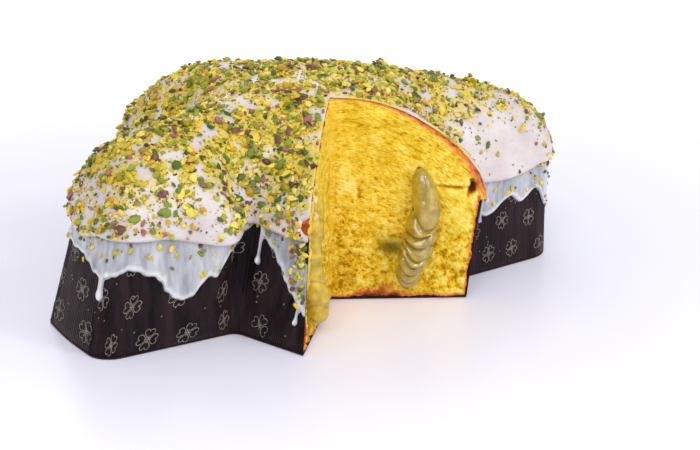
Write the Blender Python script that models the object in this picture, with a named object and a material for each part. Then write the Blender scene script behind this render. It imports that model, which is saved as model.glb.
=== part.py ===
"""Dove-shaped Easter loaf in its paper case, iced and scattered with chopped pistachio, one wedge cut out.

Metres, +Z up. The loaf stands on Z = 0 with its long axis along X: the blunt lobe points to -X,
the round lobe to +X, the whole wing to +Y, and the wedge is missing from the wing at -Y.
"""

import math
import random

import bmesh
import bpy
import numpy as np
from mathutils import Vector
from mathutils.geometry import delaunay_2d_cdt

MM = 0.001

# Outline of the case on the table: corner x, y, its rounding, bulge of the side that follows,
# where that bulge sits along the side (1 is its middle), and points along that side.
BASE_CORNERS = (
    (-0.131, -0.033, 0.012, 0.000, 1.0, 8),
    (-0.063, -0.035, 0.006, 0.000, 1.0, 7),
    (-0.044, -0.096, 0.015, 0.002, 1.0, 2),
    (0.044, -0.096, 0.015, 0.000, 1.0, 5),
    (0.063, -0.034, 0.006, 0.000, 1.0, 6),
    (0.140, -0.028, 0.020, 0.002, 1.0, 6),
    (0.140, 0.028, 0.020, 0.000, 1.0, 6),
    (0.063, 0.034, 0.006, 0.000, 1.0, 6),
    (0.054, 0.100, 0.020, 0.003, 1.0, 7),
    (-0.066, 0.103, 0.020, 0.000, 1.0, 6),
    (-0.063, 0.035, 0.006, 0.000, 1.0, 6),
    (-0.131, 0.033, 0.012, 0.001, 1.0, 7),
)
# The same corners at the top of the case, where the risen dough has pushed the sides out.
RIM_CORNERS = (
    (-0.121, -0.036, 0.022, 0.016, 1.5, 8),
    (-0.054, -0.035, 0.005, 0.001, 1.0, 7),
    (-0.027, -0.099, 0.020, 0.005, 1.0, 2),
    (0.044, -0.099, 0.020, 0.011, 1.0, 5),
    (0.061, -0.033, 0.005, 0.005, 1.0, 6),
    (0.144, -0.028, 0.020, 0.001, 1.0, 6),
    (0.144, 0.028, 0.020, 0.005, 1.0, 6),
    (0.058, 0.033, 0.005, 0.006, 1.0, 6),
    (0.054, 0.104, 0.024, 0.005, 1.0, 7),
    (-0.072, 0.110, 0.024, 0.006, 1.0, 6),
    (-0.056, 0.035, 0.005, 0.010, 1.0, 6),
    (-0.121, 0.036, 0.022, 0.002, 1.0, 7),
)
CORNER_POINTS = 4
MIDDLE = (0.0065, 0.0183)  # middle of the loaf's box, brought over the origin

CASE_HEIGHT = 0.053
CASE_DIP = 0.003  # how far the top edge sags where a side bulges
PAPER = 0.6 * MM
BOARD = 0.7 * MM
GAP = 0.3 * MM

# The dome rises from the rim as a section that is steep at its foot and flat on top. Its height
# follows a smooth distance from the whole rim, so that the lobes are lower than the middle.
DOME_TOP = 0.109
DOME_REACH = 0.050  # smooth distance from the rim at which the dome is flat
DOME_ROUND = 0.73
DOME_LEAN = (1.1, 1.5)  # share of extra height for each metre towards +X and +Y
DENTS = (  # where the dome sank, or rose where the depth is negative: x, y, depth and width
    (-0.040, -0.062, 0.018, 0.036),
    (0.045, -0.050, 0.007, 0.038),
    (0.115, -0.005, 0.014, 0.035),
    (0.030, 0.075, 0.016, 0.035),
    (0.062, 0.045, -0.015, 0.030),
)
RIM_SAMPLES = 8  # samples on each side of the rim's outline for the smooth distance
SHOULDER_STEPS = (0.001, 0.004)  # level lines near the edge, by their distance from it
CAP_STEP = 0.0090  # distance between the points over the rest of the dome
SLOPE_STEP = 0.0003

GLAZE = 1.8 * MM
CURTAIN = 1.2 * MM
CURTAIN_GAP = 0.7 * MM  # the bowed paper comes closer than this between its straight edges
LIP = 2.0 * MM  # the glazed dome ends this far above the case and turns under

# Where the glaze ran over the edge: place along the rim from the blunt lobe's near corner,
# half width and length of each sheet, in metres.
FRONT_SHEETS = (
    (0.004, 0.011, 0.018),
    (0.016, 0.012, 0.015),
    (0.033, 0.013, 0.018),
    (0.052, 0.010, 0.028),
    (0.064, 0.006, 0.018),
    (0.126, 0.012, 0.030),
)
FRONT_DRIPS = (
    (0.006, 0.0030, 0.028),
    (0.101, 0.0018, 0.018),
    (0.1262, 0.0022, 0.039),
)
LEAST_CURTAIN = 0.004
FAR_SHEETS_START = 0.300
FAR_SHEETS_END = 0.850
FAR_SHEET_STEP = (0.018, 0.034)
FAR_SHEET_LENGTH = (0.008, 0.026)
FAR_DRIPS = (0.385, 0.452, 0.541, 0.583, 0.637, 0.694, 0.735, 0.803)

# The missing wedge: its point in the loaf, and the direction of its two cuts.
CUT_POINT = (-0.002, -0.022)
LEFT_CUT = math.radians(-132.3)
BACK_CUT = math.radians(-30.6)
CUT_REACH = 0.20
CUT_HEIGHT = 0.15

# Pistachio cream: points along each cut as distance from the wedge's point, height, and how
# far the middle of the rope stands out of the cut.
BACK_ROPE = (
    (0.0425, 0.0690, 0.0010),
    (0.0452, 0.0620, 0.0030),
    (0.0460, 0.0560, 0.0038),
    (0.0448, 0.0490, 0.0040),
    (0.0430, 0.0420, 0.0042),
    (0.0424, 0.0360, 0.0044),
    (0.0438, 0.0300, 0.0047),
    (0.0450, 0.0240, 0.0048),
    (0.0430, 0.0180, 0.0045),
    (0.0380, 0.0145, 0.0036),
    (0.0320, 0.0140, 0.0022),
)
LEFT_ROPE = (
    (0.0345, 0.0670, -0.0036),
    (0.0385, 0.0600, -0.0027),
    (0.0430, 0.0500, -0.0022),
    (0.0455, 0.0400, -0.0028),
    (0.0465, 0.0300, -0.0016),
    (0.0470, 0.0200, 0.0004),
    (0.0468, 0.0120, 0.0010),
)
ROPE_RADIUS = 0.0072
ROPE_SWELL = 0.10  # share of the radius that the rope's coils stand out
ROPE_COIL = 0.0095  # length of one coil
ROPE_SIDES = 12
ROPE_RINGS = 22

NUT_COUNT = 95
NUT_SIZE = (0.0040, 0.0072)
NUT_SEED = 7
NUT_TRIES = 300
NUT_EDGE = 0.003
NUT_SUNK = 0.0013  # the deepest that a chip sinks into the glaze
NUT_CLEAR = 0.006  # free strip beside the cuts

COLOURS = {
    "crumb_loaf": ((0.90, 0.62, 0.10, 1.0), 0.85),
    "sugar_glaze": ((0.83, 0.81, 0.82, 1.0), 0.35),
    "case_wall": ((0.040, 0.024, 0.028, 1.0), 0.55),
    "case_base": ((0.040, 0.024, 0.028, 1.0), 0.60),
    "cream_rope_back": ((0.42, 0.38, 0.13, 1.0), 0.30),
    "cream_rope_left": ((0.42, 0.38, 0.13, 1.0), 0.30),
}


def clear_scene():
    """Remove what the file opened with."""
    for item in list(bpy.data.objects):
        bpy.data.objects.remove(item, do_unlink=True)


def rounded_outline(corners):
    """Points round a polygon with arcs at its corners and bowed sides, and each point's bow, 0 to 1."""
    points, bows, arcs = [], [], []
    for number, corner in enumerate(corners):
        here = np.array(corner[:2])
        back = np.array(corners[number - 1][:2]) - here
        ahead = np.array(corners[(number + 1) % len(corners)][:2]) - here
        back /= np.linalg.norm(back)
        ahead /= np.linalg.norm(ahead)
        half = math.acos(float(np.clip(back @ ahead, -1.0, 1.0))) / 2
        radius = corner[2]
        centre = here + (back + ahead) / np.linalg.norm(back + ahead) * radius / math.sin(half)
        start = here + back * radius / math.tan(half) - centre
        end = here + ahead * radius / math.tan(half) - centre
        first = math.atan2(start[1], start[0])
        turn = (math.atan2(end[1], end[0]) - first + math.pi) % (2 * math.pi) - math.pi
        angles = [first + turn * step / (CORNER_POINTS - 1) for step in range(CORNER_POINTS)]
        arcs.append([centre + radius * np.array((math.cos(a), math.sin(a))) for a in angles])
    for number, corner in enumerate(corners):
        points += arcs[number]
        bows += [0.0] * CORNER_POINTS
        start, end = arcs[number][-1], arcs[(number + 1) % len(corners)][0]
        along = end - start
        outward = np.array((along[1], -along[0])) / np.linalg.norm(along)
        bulge, skew, count = corner[3:]
        for step in range(1, count + 1):
            share = step / (count + 1)
            bow = math.sin(math.pi * share ** skew)
            points.append(start + along * share + outward * bulge * bow)
            bows.append(bow)
    return np.array(points) - np.array(MIDDLE), np.array(bows)


BASE, _ = rounded_outline(BASE_CORNERS)
RIM, RIM_BOW = rounded_outline(RIM_CORNERS)
RIM_Z = CASE_HEIGHT - CASE_DIP * RIM_BOW
COUNT = len(RIM)
CENTRE = -np.array(MIDDLE)
RIM_PLACE = np.concatenate(([0.0], np.cumsum(np.linalg.norm(np.diff(RIM, axis=0), axis=1))))
RIM_LENGTH = RIM_PLACE[-1] + np.linalg.norm(RIM[0] - RIM[-1])


def moved_in(outline, distance):
    """The outline moved inwards by a distance, or outwards where it is negative."""
    ahead = np.roll(outline, -1, axis=0) - outline
    ahead /= np.linalg.norm(ahead, axis=1)[:, None]
    behind = np.roll(ahead, 1, axis=0)
    inward = np.stack((-(ahead + behind)[:, 1], (ahead + behind)[:, 0]), axis=1)
    inward /= np.linalg.norm(inward, axis=1)[:, None]
    side = np.stack((-ahead[:, 1], ahead[:, 0]), axis=1)
    return outline + inward * (distance / np.sum(inward * side, axis=1))[:, None]


PAPER_OUTER = GLAZE + CURTAIN + CURTAIN_GAP  # from the glazed dome's outline in to the paper's outer face


def wall_ring(level, outwards):
    """A ring round the case at heights given as a share of the rim's, some way off the paper's outer face."""
    low = moved_in(BASE, -outwards)
    high = moved_in(RIM, PAPER_OUTER - outwards)
    share = np.broadcast_to(np.asarray(level, float), (COUNT,))
    flat = low * (1 - share)[:, None] + high * share[:, None]
    return np.column_stack((flat, share * RIM_Z))


def rim_samples():
    """Points along the rim's outline with the length and the height that each stands for."""
    ahead = np.roll(RIM, -1, axis=0)
    shares = (np.arange(RIM_SAMPLES) + 0.5) / RIM_SAMPLES
    points = np.concatenate([RIM * (1 - share) + ahead * share for share in shares])
    lengths = np.tile(np.linalg.norm(ahead - RIM, axis=1) / RIM_SAMPLES, RIM_SAMPLES)
    heights = np.concatenate([RIM_Z * (1 - share) + np.roll(RIM_Z, -1) * share for share in shares])
    return points, lengths, heights


SAMPLES, SAMPLE_LENGTHS, SAMPLE_HEIGHTS = rim_samples()


def dome_height(flat):
    """Height of the glazed dome's outer face over points inside the rim."""
    apart = np.linalg.norm(flat[:, None, :] - SAMPLES[None], axis=2)
    weight = SAMPLE_LENGTHS / np.maximum(apart, SLOPE_STEP) ** 3
    total = weight.sum(axis=1)
    low = (weight * SAMPLE_HEIGHTS).sum(axis=1) / total + LIP
    share = np.clip(np.sqrt(2 / total) / DOME_REACH, 0.0, 1.0)
    rise = (1 - (1 - share) ** 2) ** DOME_ROUND
    spot = flat + np.array(MIDDLE)
    lean = 1 + spot @ np.array(DOME_LEAN)
    height = low + (DOME_TOP - low) * rise * lean
    for x, y, depth, width in DENTS:
        far = np.sum((spot - np.array((x, y))) ** 2, axis=1)
        height -= depth * rise * np.exp(-far / width ** 2)
    return height


def dome_points(flat, inset=0.0):
    """Points of the dome over a plan, moved in along its normals by a thickness."""
    height = dome_height(flat)
    slopes = []
    for step in ((SLOPE_STEP, 0.0), (0.0, SLOPE_STEP)):
        slopes.append((dome_height(flat + step) - dome_height(flat - np.array(step))) / (2 * SLOPE_STEP))
    outward = np.column_stack((-slopes[0], -slopes[1], np.ones(len(flat))))
    outward /= np.linalg.norm(outward, axis=1)[:, None]
    return np.column_stack((flat, height)) - outward * inset


def inside_rim(spot):
    """Whether a point in plan lies inside the rim's outline."""
    inside = False
    for a, b in zip(RIM, np.roll(RIM, -1, axis=0)):
        if (a[1] > spot[1]) != (b[1] > spot[1]):
            if spot[0] < a[0] + (spot[1] - a[1]) * (b[0] - a[0]) / (b[1] - a[1]):
                inside = not inside
    return inside


def cap_plan():
    """Points spread evenly inside the last shoulder line, and triangles over them and that line."""
    edge = moved_in(RIM, SHOULDER_STEPS[-1])
    low, high = edge.min(axis=0), edge.max(axis=0)
    row_step = CAP_STEP * math.sqrt(3) / 2
    spots = []
    for row in range(int((high[1] - low[1]) / row_step) + 1):
        for column in range(int((high[0] - low[0]) / CAP_STEP) + 1):
            spot = low + np.array(((column + 0.5 * (row % 2)) * CAP_STEP, row * row_step))
            clear = np.min(np.linalg.norm(SAMPLES - spot, axis=1))
            if clear > SHOULDER_STEPS[-1] + CAP_STEP * 0.55 and inside_rim(spot):
                spots.append(spot)
    flat = [Vector(spot) for spot in list(edge) + spots]
    border = [(i, (i + 1) % COUNT) for i in range(COUNT)]
    triangles = delaunay_2d_cdt(flat, border, [], 1, 1e-7)[2]
    return np.array(spots), [tuple(face) for face in triangles]


CAP_SPOTS, CAP_FACES = cap_plan()


def dome_rings(inset, lift):
    """The dome's level lines from its edge up, set in from the glaze's outer face, and its cap."""
    rings = [np.column_stack((moved_in(RIM, inset), RIM_Z + lift))]
    rings += [dome_points(moved_in(RIM, step), inset) for step in SHOULDER_STEPS]
    return rings, dome_points(CAP_SPOTS, inset)


def add_object(name, mesh):
    """Put a mesh in the scene under its node's name, with its own material."""
    item = bpy.data.objects.new(name, mesh)
    bpy.context.scene.collection.objects.link(item)
    if name in COLOURS:
        colour, roughness = COLOURS[name]
        material = bpy.data.materials.new(name)
        material.use_nodes = True
        shader = material.node_tree.nodes["Principled BSDF"]
        shader.inputs["Base Color"].default_value = colour
        shader.inputs["Roughness"].default_value = roughness
        shader.inputs["Metallic"].default_value = 0.0
        mesh.materials.append(material)
    mesh.shade_smooth()
    mesh.set_sharp_from_angle(angle=math.radians(40))
    return item


def solid_from_rings(name, rings, start=None, end=None):
    """A closed solid through rings of equal count, closed from the last ring to the first, or at each end
    by one point or by the dome's cap."""
    mesh = bmesh.new()
    rows = [[mesh.verts.new(point) for point in ring] for ring in rings]
    size = len(rows[0])
    pairs = list(zip(rows, rows[1:]))
    if start is None:
        pairs.append((rows[-1], rows[0]))
    for first, second in pairs:
        # The same diagonal on every layer keeps the thin gaps between nested faces even.
        low, high = (first, second) if first[0].co.z <= second[0].co.z else (second, first)
        for i in range(size):
            j = (i + 1) % size
            mesh.faces.new((low[i], low[j], high[j]))
            mesh.faces.new((low[i], high[j], high[i]))
    for closing, row in ((start, rows[0]), (end, rows[-1])):
        if closing is None:
            continue
        if np.ndim(closing) == 1:
            tip = mesh.verts.new(closing)
            for i in range(size):
                mesh.faces.new((row[i], row[(i + 1) % size], tip))
        else:
            cap = row + [mesh.verts.new(point) for point in closing]
            for face in CAP_FACES:
                mesh.faces.new([cap[i] for i in face])
    bmesh.ops.recalc_face_normals(mesh, faces=mesh.faces)
    data = bpy.data.meshes.new(name)
    mesh.to_mesh(data)
    mesh.free()
    return add_object(name, data)


def apply_boolean(item, operation, cutter=None, group=None, solver="EXACT"):
    """Apply one Boolean to an object and remove what it was made with."""
    change = item.modifiers.new("shape", "BOOLEAN")
    change.operation = operation
    change.solver = solver
    if group is None:
        change.object = cutter
    else:
        change.operand_type = "COLLECTION"
        change.collection = group
    bpy.context.view_layer.update()
    evaluated = item.evaluated_get(bpy.context.evaluated_depsgraph_get())
    result = bpy.data.meshes.new_from_object(evaluated)
    item.modifiers.clear()
    item.data = result
    used = [cutter] if group is None else list(group.objects)
    for tool in used:
        bpy.data.objects.remove(tool, do_unlink=True)


def wedge_cutter():
    """The missing wedge as an upright prism with its point inside the loaf."""
    point = np.array(CUT_POINT) - np.array(MIDDLE)
    ways = (LEFT_CUT, (LEFT_CUT + BACK_CUT) / 2, BACK_CUT)
    plan = [point] + [point + CUT_REACH * np.array((math.cos(a), math.sin(a))) for a in ways]
    mesh = bmesh.new()
    low = [mesh.verts.new((p[0], p[1], -0.02)) for p in plan]
    high = [mesh.verts.new((p[0], p[1], CUT_HEIGHT)) for p in plan]
    mesh.faces.new(low)
    mesh.faces.new(high)
    for i in range(len(plan)):
        j = (i + 1) % len(plan)
        mesh.faces.new((low[i], low[j], high[j], high[i]))
    bmesh.ops.recalc_face_normals(mesh, faces=mesh.faces)
    data = bpy.data.meshes.new("wedge")
    mesh.to_mesh(data)
    mesh.free()
    cutter = add_object("wedge", data)
    cutter.hide_render = True
    cutter.display_type = "WIRE"
    return cutter


def case_base():
    """The flat sheet under the loaf."""
    low = np.column_stack((BASE, np.zeros(COUNT)))
    high = np.column_stack((BASE, np.full(COUNT, BOARD)))
    middle = (CENTRE[0], CENTRE[1], 0.0)
    top = (CENTRE[0], CENTRE[1], BOARD)
    return solid_from_rings("case_base", (low, high), middle, top)


def case_wall():
    """The upright wall of the case, standing on the sheet."""
    foot = (BOARD + GAP) / CASE_HEIGHT
    rings = [wall_ring(level, 0.0) for level in (foot, 0.5, 1.0)]
    rings += [wall_ring(level, -PAPER) for level in (1.0, 0.5, foot)]
    return solid_from_rings("case_wall", rings)


def crumb_loaf():
    """The baked dough: it fills the case, rises into the dome and just overhangs the paper."""
    inset = PAPER + GAP
    foot = (BOARD + GAP) / CASE_HEIGHT
    edge = GLAZE + GAP
    overhang = 2 * GAP
    shelf = wall_ring(1.0, -inset)
    shelf[:, 2] += overhang
    rings = [wall_ring(foot, -inset), wall_ring(0.5, -inset), shelf]
    dome, cap = dome_rings(edge, overhang)
    start = (CENTRE[0], CENTRE[1], BOARD + GAP)
    return solid_from_rings("crumb_loaf", rings + dome, start, cap)


def curtain_length():
    """How far the glaze hangs below the rim at each point round it."""
    draw = random.Random(NUT_SEED)
    sheets = list(FRONT_SHEETS)
    place = FAR_SHEETS_START
    while place < FAR_SHEETS_END:
        width = draw.uniform(*FAR_SHEET_STEP) / 2
        sheets.append((place, width * 1.25, draw.uniform(*FAR_SHEET_LENGTH)))
        place += width * 2
    length = np.full(COUNT, LEAST_CURTAIN)
    for middle, half, drop in sheets:
        apart = np.abs(RIM_PLACE - middle)
        apart = np.minimum(apart, RIM_LENGTH - apart) / half
        sheet = drop * np.clip(1 - apart ** 3, 0.0, 1.0) ** 0.6
        length = np.maximum(length, sheet)
    return length


def wall_point(place, level, outwards):
    """A point on the wall by its place along the rim and its height as a share of the rim's."""
    ring = wall_ring(level, outwards)
    closed = np.vstack((ring, ring[:1]))
    places = np.append(RIM_PLACE, RIM_LENGTH)
    return np.array([np.interp(place, places, closed[:, axis]) for axis in range(3)])


def drip(number, place, half_width, length):
    """A run of glaze down the wall: a flattened tube that ends in a drop."""
    off = CURTAIN_GAP + CURTAIN * 0.75
    top = wall_point(place, 0.97, off)
    low = wall_point(place, 1 - length / CASE_HEIGHT, off)
    mesh = bmesh.new()
    steps = ((0.0, 1.0), (0.6, 0.85), (0.88, 1.15), (0.97, 0.8))
    sides = 8
    across = wall_point(place + 0.004, 0.9, 0.0) - wall_point(place - 0.004, 0.9, 0.0)
    across /= np.linalg.norm(across)
    away = np.cross(across, (0.0, 0.0, 1.0))
    rows = []
    for share, width in steps:
        middle = top * (1 - share) + low * share
        turn = [2 * math.pi * k / sides for k in range(sides)]
        rows.append([
            mesh.verts.new(middle + across * half_width * width * math.cos(a)
                           + away * CURTAIN * 0.75 * width * math.sin(a))
            for a in turn
        ])
    for first, second in zip(rows, rows[1:]):
        for i in range(sides):
            j = (i + 1) % sides
            mesh.faces.new((first[i], first[j], second[j], second[i]))
    mesh.faces.new(rows[0])
    tip = mesh.verts.new(low)
    for i in range(sides):
        mesh.faces.new((rows[-1][i], rows[-1][(i + 1) % sides], tip))
    bmesh.ops.recalc_face_normals(mesh, faces=mesh.faces)
    data = bpy.data.meshes.new(f"drip_{number}")
    mesh.to_mesh(data)
    mesh.free()
    return add_object(f"drip_{number}", data)


def glaze_shell():
    """The glaze: a skin over the dome that turns under its edge and hangs down outside the paper."""
    length = curtain_length()
    low = 1 - length / RIM_Z
    outer, outer_cap = dome_rings(0.0, LIP)
    inner, inner_cap = dome_rings(GLAZE, GAP)
    outside = CURTAIN_GAP + CURTAIN
    under = wall_ring(1.0, outside)
    under[:, 2] -= GLAZE
    hem = CASE_HEIGHT / MM  # shares of the wall's height are turned into millimetres by this
    rings = outer[::-1] + [under, wall_ring(low + 1.2 / hem, outside)]
    rings += [wall_ring(low, CURTAIN_GAP + CURTAIN / 2)]
    rings += [wall_ring(low + 0.8 / hem, CURTAIN_GAP), wall_ring(1.0, CURTAIN_GAP)]
    return solid_from_rings("sugar_glaze", rings + inner, outer_cap, inner_cap)


def nut_piece(number, place, outward, size, draw):
    """One chopped pistachio: a faceted chip sunk into the glaze."""
    mesh = bmesh.new()
    bmesh.ops.create_icosphere(mesh, subdivisions=1, radius=0.5)
    stretch = Vector((1.0, draw.uniform(0.55, 0.85), draw.uniform(0.45, 0.65)))
    turn = outward.to_track_quat("Z", "Y").to_matrix() @ Vector((0, 0, 1)).rotation_difference(
        Vector((draw.uniform(-0.3, 0.3), draw.uniform(-0.3, 0.3), 1.0))).to_matrix()
    spin = draw.uniform(0, 2 * math.pi)
    for vertex in mesh.verts:
        rough = 1 + draw.uniform(-0.16, 0.16)
        spot = Vector([a * b * size * rough for a, b in zip(vertex.co, stretch)])
        flat = Vector((spot.x * math.cos(spin) - spot.y * math.sin(spin),
                       spot.x * math.sin(spin) + spot.y * math.cos(spin), spot.z))
        vertex.co = place + turn @ flat
    depth = max(outward.dot(place - vertex.co) for vertex in mesh.verts)
    bmesh.ops.translate(mesh, verts=mesh.verts, vec=outward * max(depth - NUT_SUNK, 0.0))
    data = bpy.data.meshes.new(f"nut_{number}")
    mesh.to_mesh(data)
    mesh.free()
    return add_object(f"nut_{number}", data)


def beside_cut(spot):
    """Whether a point over the loaf lies in the missing wedge or in the strip beside it."""
    away = np.array(spot[:2]) - (np.array(CUT_POINT) - np.array(MIDDLE))
    bearing = math.atan2(away[1], away[0])
    if LEFT_CUT <= bearing <= BACK_CUT:
        return True
    for cut in (LEFT_CUT, BACK_CUT):
        ahead = away[0] * math.cos(cut) + away[1] * math.sin(cut)
        aside = abs(away[0] * math.sin(cut) - away[1] * math.cos(cut))
        if ahead > -NUT_CLEAR and aside < NUT_CLEAR:
            return True
    return False


def nut_pieces(shell):
    """Chopped pistachios over the glaze, spread by area, the largest first and kept apart."""
    draw = random.Random(NUT_SEED)
    low, high = RIM.min(axis=0), RIM.max(axis=0)
    placed = []
    for size in sorted((draw.uniform(*NUT_SIZE) for _ in range(NUT_COUNT)), reverse=True):
        for _ in range(NUT_TRIES):
            flat = np.array((draw.uniform(low[0], high[0]), draw.uniform(low[1], high[1])))
            clear = np.min(np.linalg.norm(SAMPLES - flat, axis=1))
            if clear < NUT_EDGE or beside_cut(flat) or not inside_rim(flat):
                continue
            point, outward = shell.closest_point_on_mesh(Vector(dome_points(flat[None])[0]))[1:3]
            if any((point - other).length < (size + wide) * 0.62 for other, wide in placed):
                continue
            placed.append((point, size))
            yield len(placed), point, outward, size, draw
            break


def join_all(item, additions):
    """Join a list of objects to one object with a single Boolean union and remove them."""
    group = bpy.data.collections.new("additions")
    bpy.context.scene.collection.children.link(group)
    for addition in additions:
        bpy.context.scene.collection.objects.unlink(addition)
        group.objects.link(addition)
    apply_boolean(item, "UNION", group=group, solver="MANIFOLD")
    bpy.data.collections.remove(group)


def iced_top():
    """The glaze with its drips and the pistachio chips joined into one solid."""
    shell = glaze_shell()
    draw = random.Random(NUT_SEED + 1)
    drips = list(FRONT_DRIPS)
    for place in FAR_DRIPS:
        drips.append((place, draw.uniform(0.0020, 0.0030), draw.uniform(0.022, 0.036)))
    join_all(shell, [drip(number, *values) for number, values in enumerate(drips)])
    apply_boolean(shell, "DIFFERENCE", wedge_cutter(), solver="MANIFOLD")
    join_all(shell, [nut_piece(*values) for values in nut_pieces(shell)])
    return shell


def smooth_path(points, count):
    """Evenly numbered points on a smooth curve through the given ones."""
    source = np.array(points)
    padded = np.vstack((2 * source[0] - source[1], source, 2 * source[-1] - source[-2]))
    path = []
    for step in range(count):
        along = step / (count - 1) * (len(source) - 1)
        k = min(int(along), len(source) - 2)
        t = along - k
        a, b, c, d = padded[k:k + 4]
        path.append(0.5 * (2 * b + (c - a) * t + (2 * a - 5 * b + 4 * c - d) * t ** 2
                           + (3 * b - a - 3 * c + d) * t ** 3))
    return np.array(path)


def on_cut(points, bearing, side):
    """Places given on a cut face turned into the loaf's own axes."""
    point = np.array(CUT_POINT) - np.array(MIDDLE)
    along = np.array((math.cos(bearing), math.sin(bearing)))
    out = side * np.array((along[1], -along[0]))
    return [(*(point + along * p[0] + out * p[2]), p[1]) for p in points]


def rope(name, points, radius, swell):
    """A piped rope of cream: a round tube whose coils swell and lean, with rounded ends."""
    path = smooth_path(points, ROPE_RINGS)
    places = np.concatenate(([0.0], np.cumsum(np.linalg.norm(np.diff(path, axis=0), axis=1))))
    total = places[-1]
    rings = []
    aside = None
    for number, middle in enumerate(path):
        before = path[max(number - 1, 0)]
        after = path[min(number + 1, ROPE_RINGS - 1)]
        ahead = Vector(after - before).normalized()
        start = Vector((1, 0, 0)) if aside is None else aside
        aside = (start - ahead * start.dot(ahead)).normalized()
        other = ahead.cross(aside)
        nearest_end = min(places[number], total - places[number]) / radius
        cap = math.sqrt(max(1 - max(1 - nearest_end - 0.12, 0.0) ** 2, 0.0)) if nearest_end < 1 else 1.0
        ring = []
        for k in range(ROPE_SIDES):
            turn = 2 * math.pi * k / ROPE_SIDES
            coil = math.cos(2 * math.pi * places[number] / ROPE_COIL + turn)
            reach = radius * cap * (1 + swell * coil)
            ring.append(Vector(middle) + (aside * math.cos(turn) + other * math.sin(turn)) * reach)
        rings.append(ring)
    return solid_from_rings(name, rings, path[0], path[-1])


def build():
    """Make every node of the loaf."""
    clear_scene()
    loaf = crumb_loaf()
    base = case_base()
    wall = case_wall()
    for item in (loaf, base, wall):
        apply_boolean(item, "DIFFERENCE", wedge_cutter())
    iced_top()
    back_points = on_cut(BACK_ROPE, BACK_CUT, 1)
    left_points = on_cut(LEFT_ROPE, LEFT_CUT, -1)
    for points in (back_points, left_points):
        groove = rope("groove", points, ROPE_RADIUS * (1 + ROPE_SWELL) + GAP, 0.0)
        apply_boolean(loaf, "DIFFERENCE", groove, solver="MANIFOLD")
    rope("cream_rope_back", back_points, ROPE_RADIUS, ROPE_SWELL)
    rope("cream_rope_left", left_points, ROPE_RADIUS, ROPE_SWELL)


build()
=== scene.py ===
"""Looks of the dove-shaped Easter loaf: paper case, crumb, sugar glaze, pistachios and cream."""

import math
import random

import bmesh
import bpy
import numpy as np
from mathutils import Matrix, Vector, noise
from mathutils.bvhtree import BVHTree
from mathutils.geometry import delaunay_2d_cdt


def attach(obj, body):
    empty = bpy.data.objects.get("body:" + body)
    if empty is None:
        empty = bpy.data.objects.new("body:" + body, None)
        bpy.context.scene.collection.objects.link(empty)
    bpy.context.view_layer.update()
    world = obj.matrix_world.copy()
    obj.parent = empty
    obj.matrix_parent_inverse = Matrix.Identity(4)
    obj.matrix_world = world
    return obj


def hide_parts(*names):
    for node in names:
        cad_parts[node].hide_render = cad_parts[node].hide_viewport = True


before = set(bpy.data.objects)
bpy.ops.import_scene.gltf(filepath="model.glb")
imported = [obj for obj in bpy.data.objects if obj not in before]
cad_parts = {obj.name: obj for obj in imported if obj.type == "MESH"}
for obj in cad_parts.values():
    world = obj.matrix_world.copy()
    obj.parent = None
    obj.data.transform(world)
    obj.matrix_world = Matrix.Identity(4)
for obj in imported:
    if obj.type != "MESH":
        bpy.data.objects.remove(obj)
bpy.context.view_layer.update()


# The paper under the loaf: a flat sheet of dark baking paper, cut to the dove's outline and glued
# into the foot of the wall. The outlines of the mould are set here, as every later piece follows them.
MM = 0.001
MIDDLE = np.array((0.0065, 0.0183))
MOULD_FOOT = (  # corner x, y, rounding, bulge of the side that follows, where it bulges, length share
    (-0.131, -0.033, 0.012, 0.000, 1.0, 8),
    (-0.063, -0.035, 0.006, 0.000, 1.0, 7),
    (-0.044, -0.096, 0.015, 0.002, 1.0, 2),
    (0.044, -0.096, 0.015, 0.000, 1.0, 5),
    (0.063, -0.034, 0.006, 0.000, 1.0, 6),
    (0.140, -0.028, 0.020, 0.002, 1.0, 6),
    (0.140, 0.028, 0.020, 0.000, 1.0, 6),
    (0.063, 0.034, 0.006, 0.000, 1.0, 6),
    (0.054, 0.100, 0.020, 0.003, 1.0, 7),
    (-0.066, 0.103, 0.020, 0.000, 1.0, 6),
    (-0.063, 0.035, 0.006, 0.000, 1.0, 6),
    (-0.131, 0.033, 0.012, 0.001, 1.0, 7),
)
MOULD_RIM = (  # the same corners where the dough has pushed the top of the case out
    (-0.121, -0.036, 0.022, 0.016, 1.5, 8),
    (-0.054, -0.035, 0.005, 0.001, 1.0, 7),
    (-0.027, -0.099, 0.020, 0.005, 1.0, 2),
    (0.044, -0.099, 0.020, 0.011, 1.0, 5),
    (0.061, -0.033, 0.005, 0.005, 1.0, 6),
    (0.144, -0.028, 0.020, 0.001, 1.0, 6),
    (0.144, 0.028, 0.020, 0.005, 1.0, 6),
    (0.058, 0.033, 0.005, 0.006, 1.0, 6),
    (0.054, 0.104, 0.024, 0.005, 1.0, 7),
    (-0.072, 0.110, 0.024, 0.006, 1.0, 6),
    (-0.056, 0.035, 0.005, 0.010, 1.0, 6),
    (-0.121, 0.036, 0.022, 0.002, 1.0, 7),
)
ARC_POINTS = 16
SIDE_FINENESS = 10
RIM_HEIGHT = 0.053
RIM_DIP = 0.003  # where a side bulges most
PAPER = 0.6 * MM
BOARD = 0.7 * MM
GAP = 0.3 * MM
CUT_POINT = np.array((-0.002, -0.022)) - MIDDLE
LEFT_CUT = math.radians(-132.3)
BACK_CUT = math.radians(-30.6)


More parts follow.
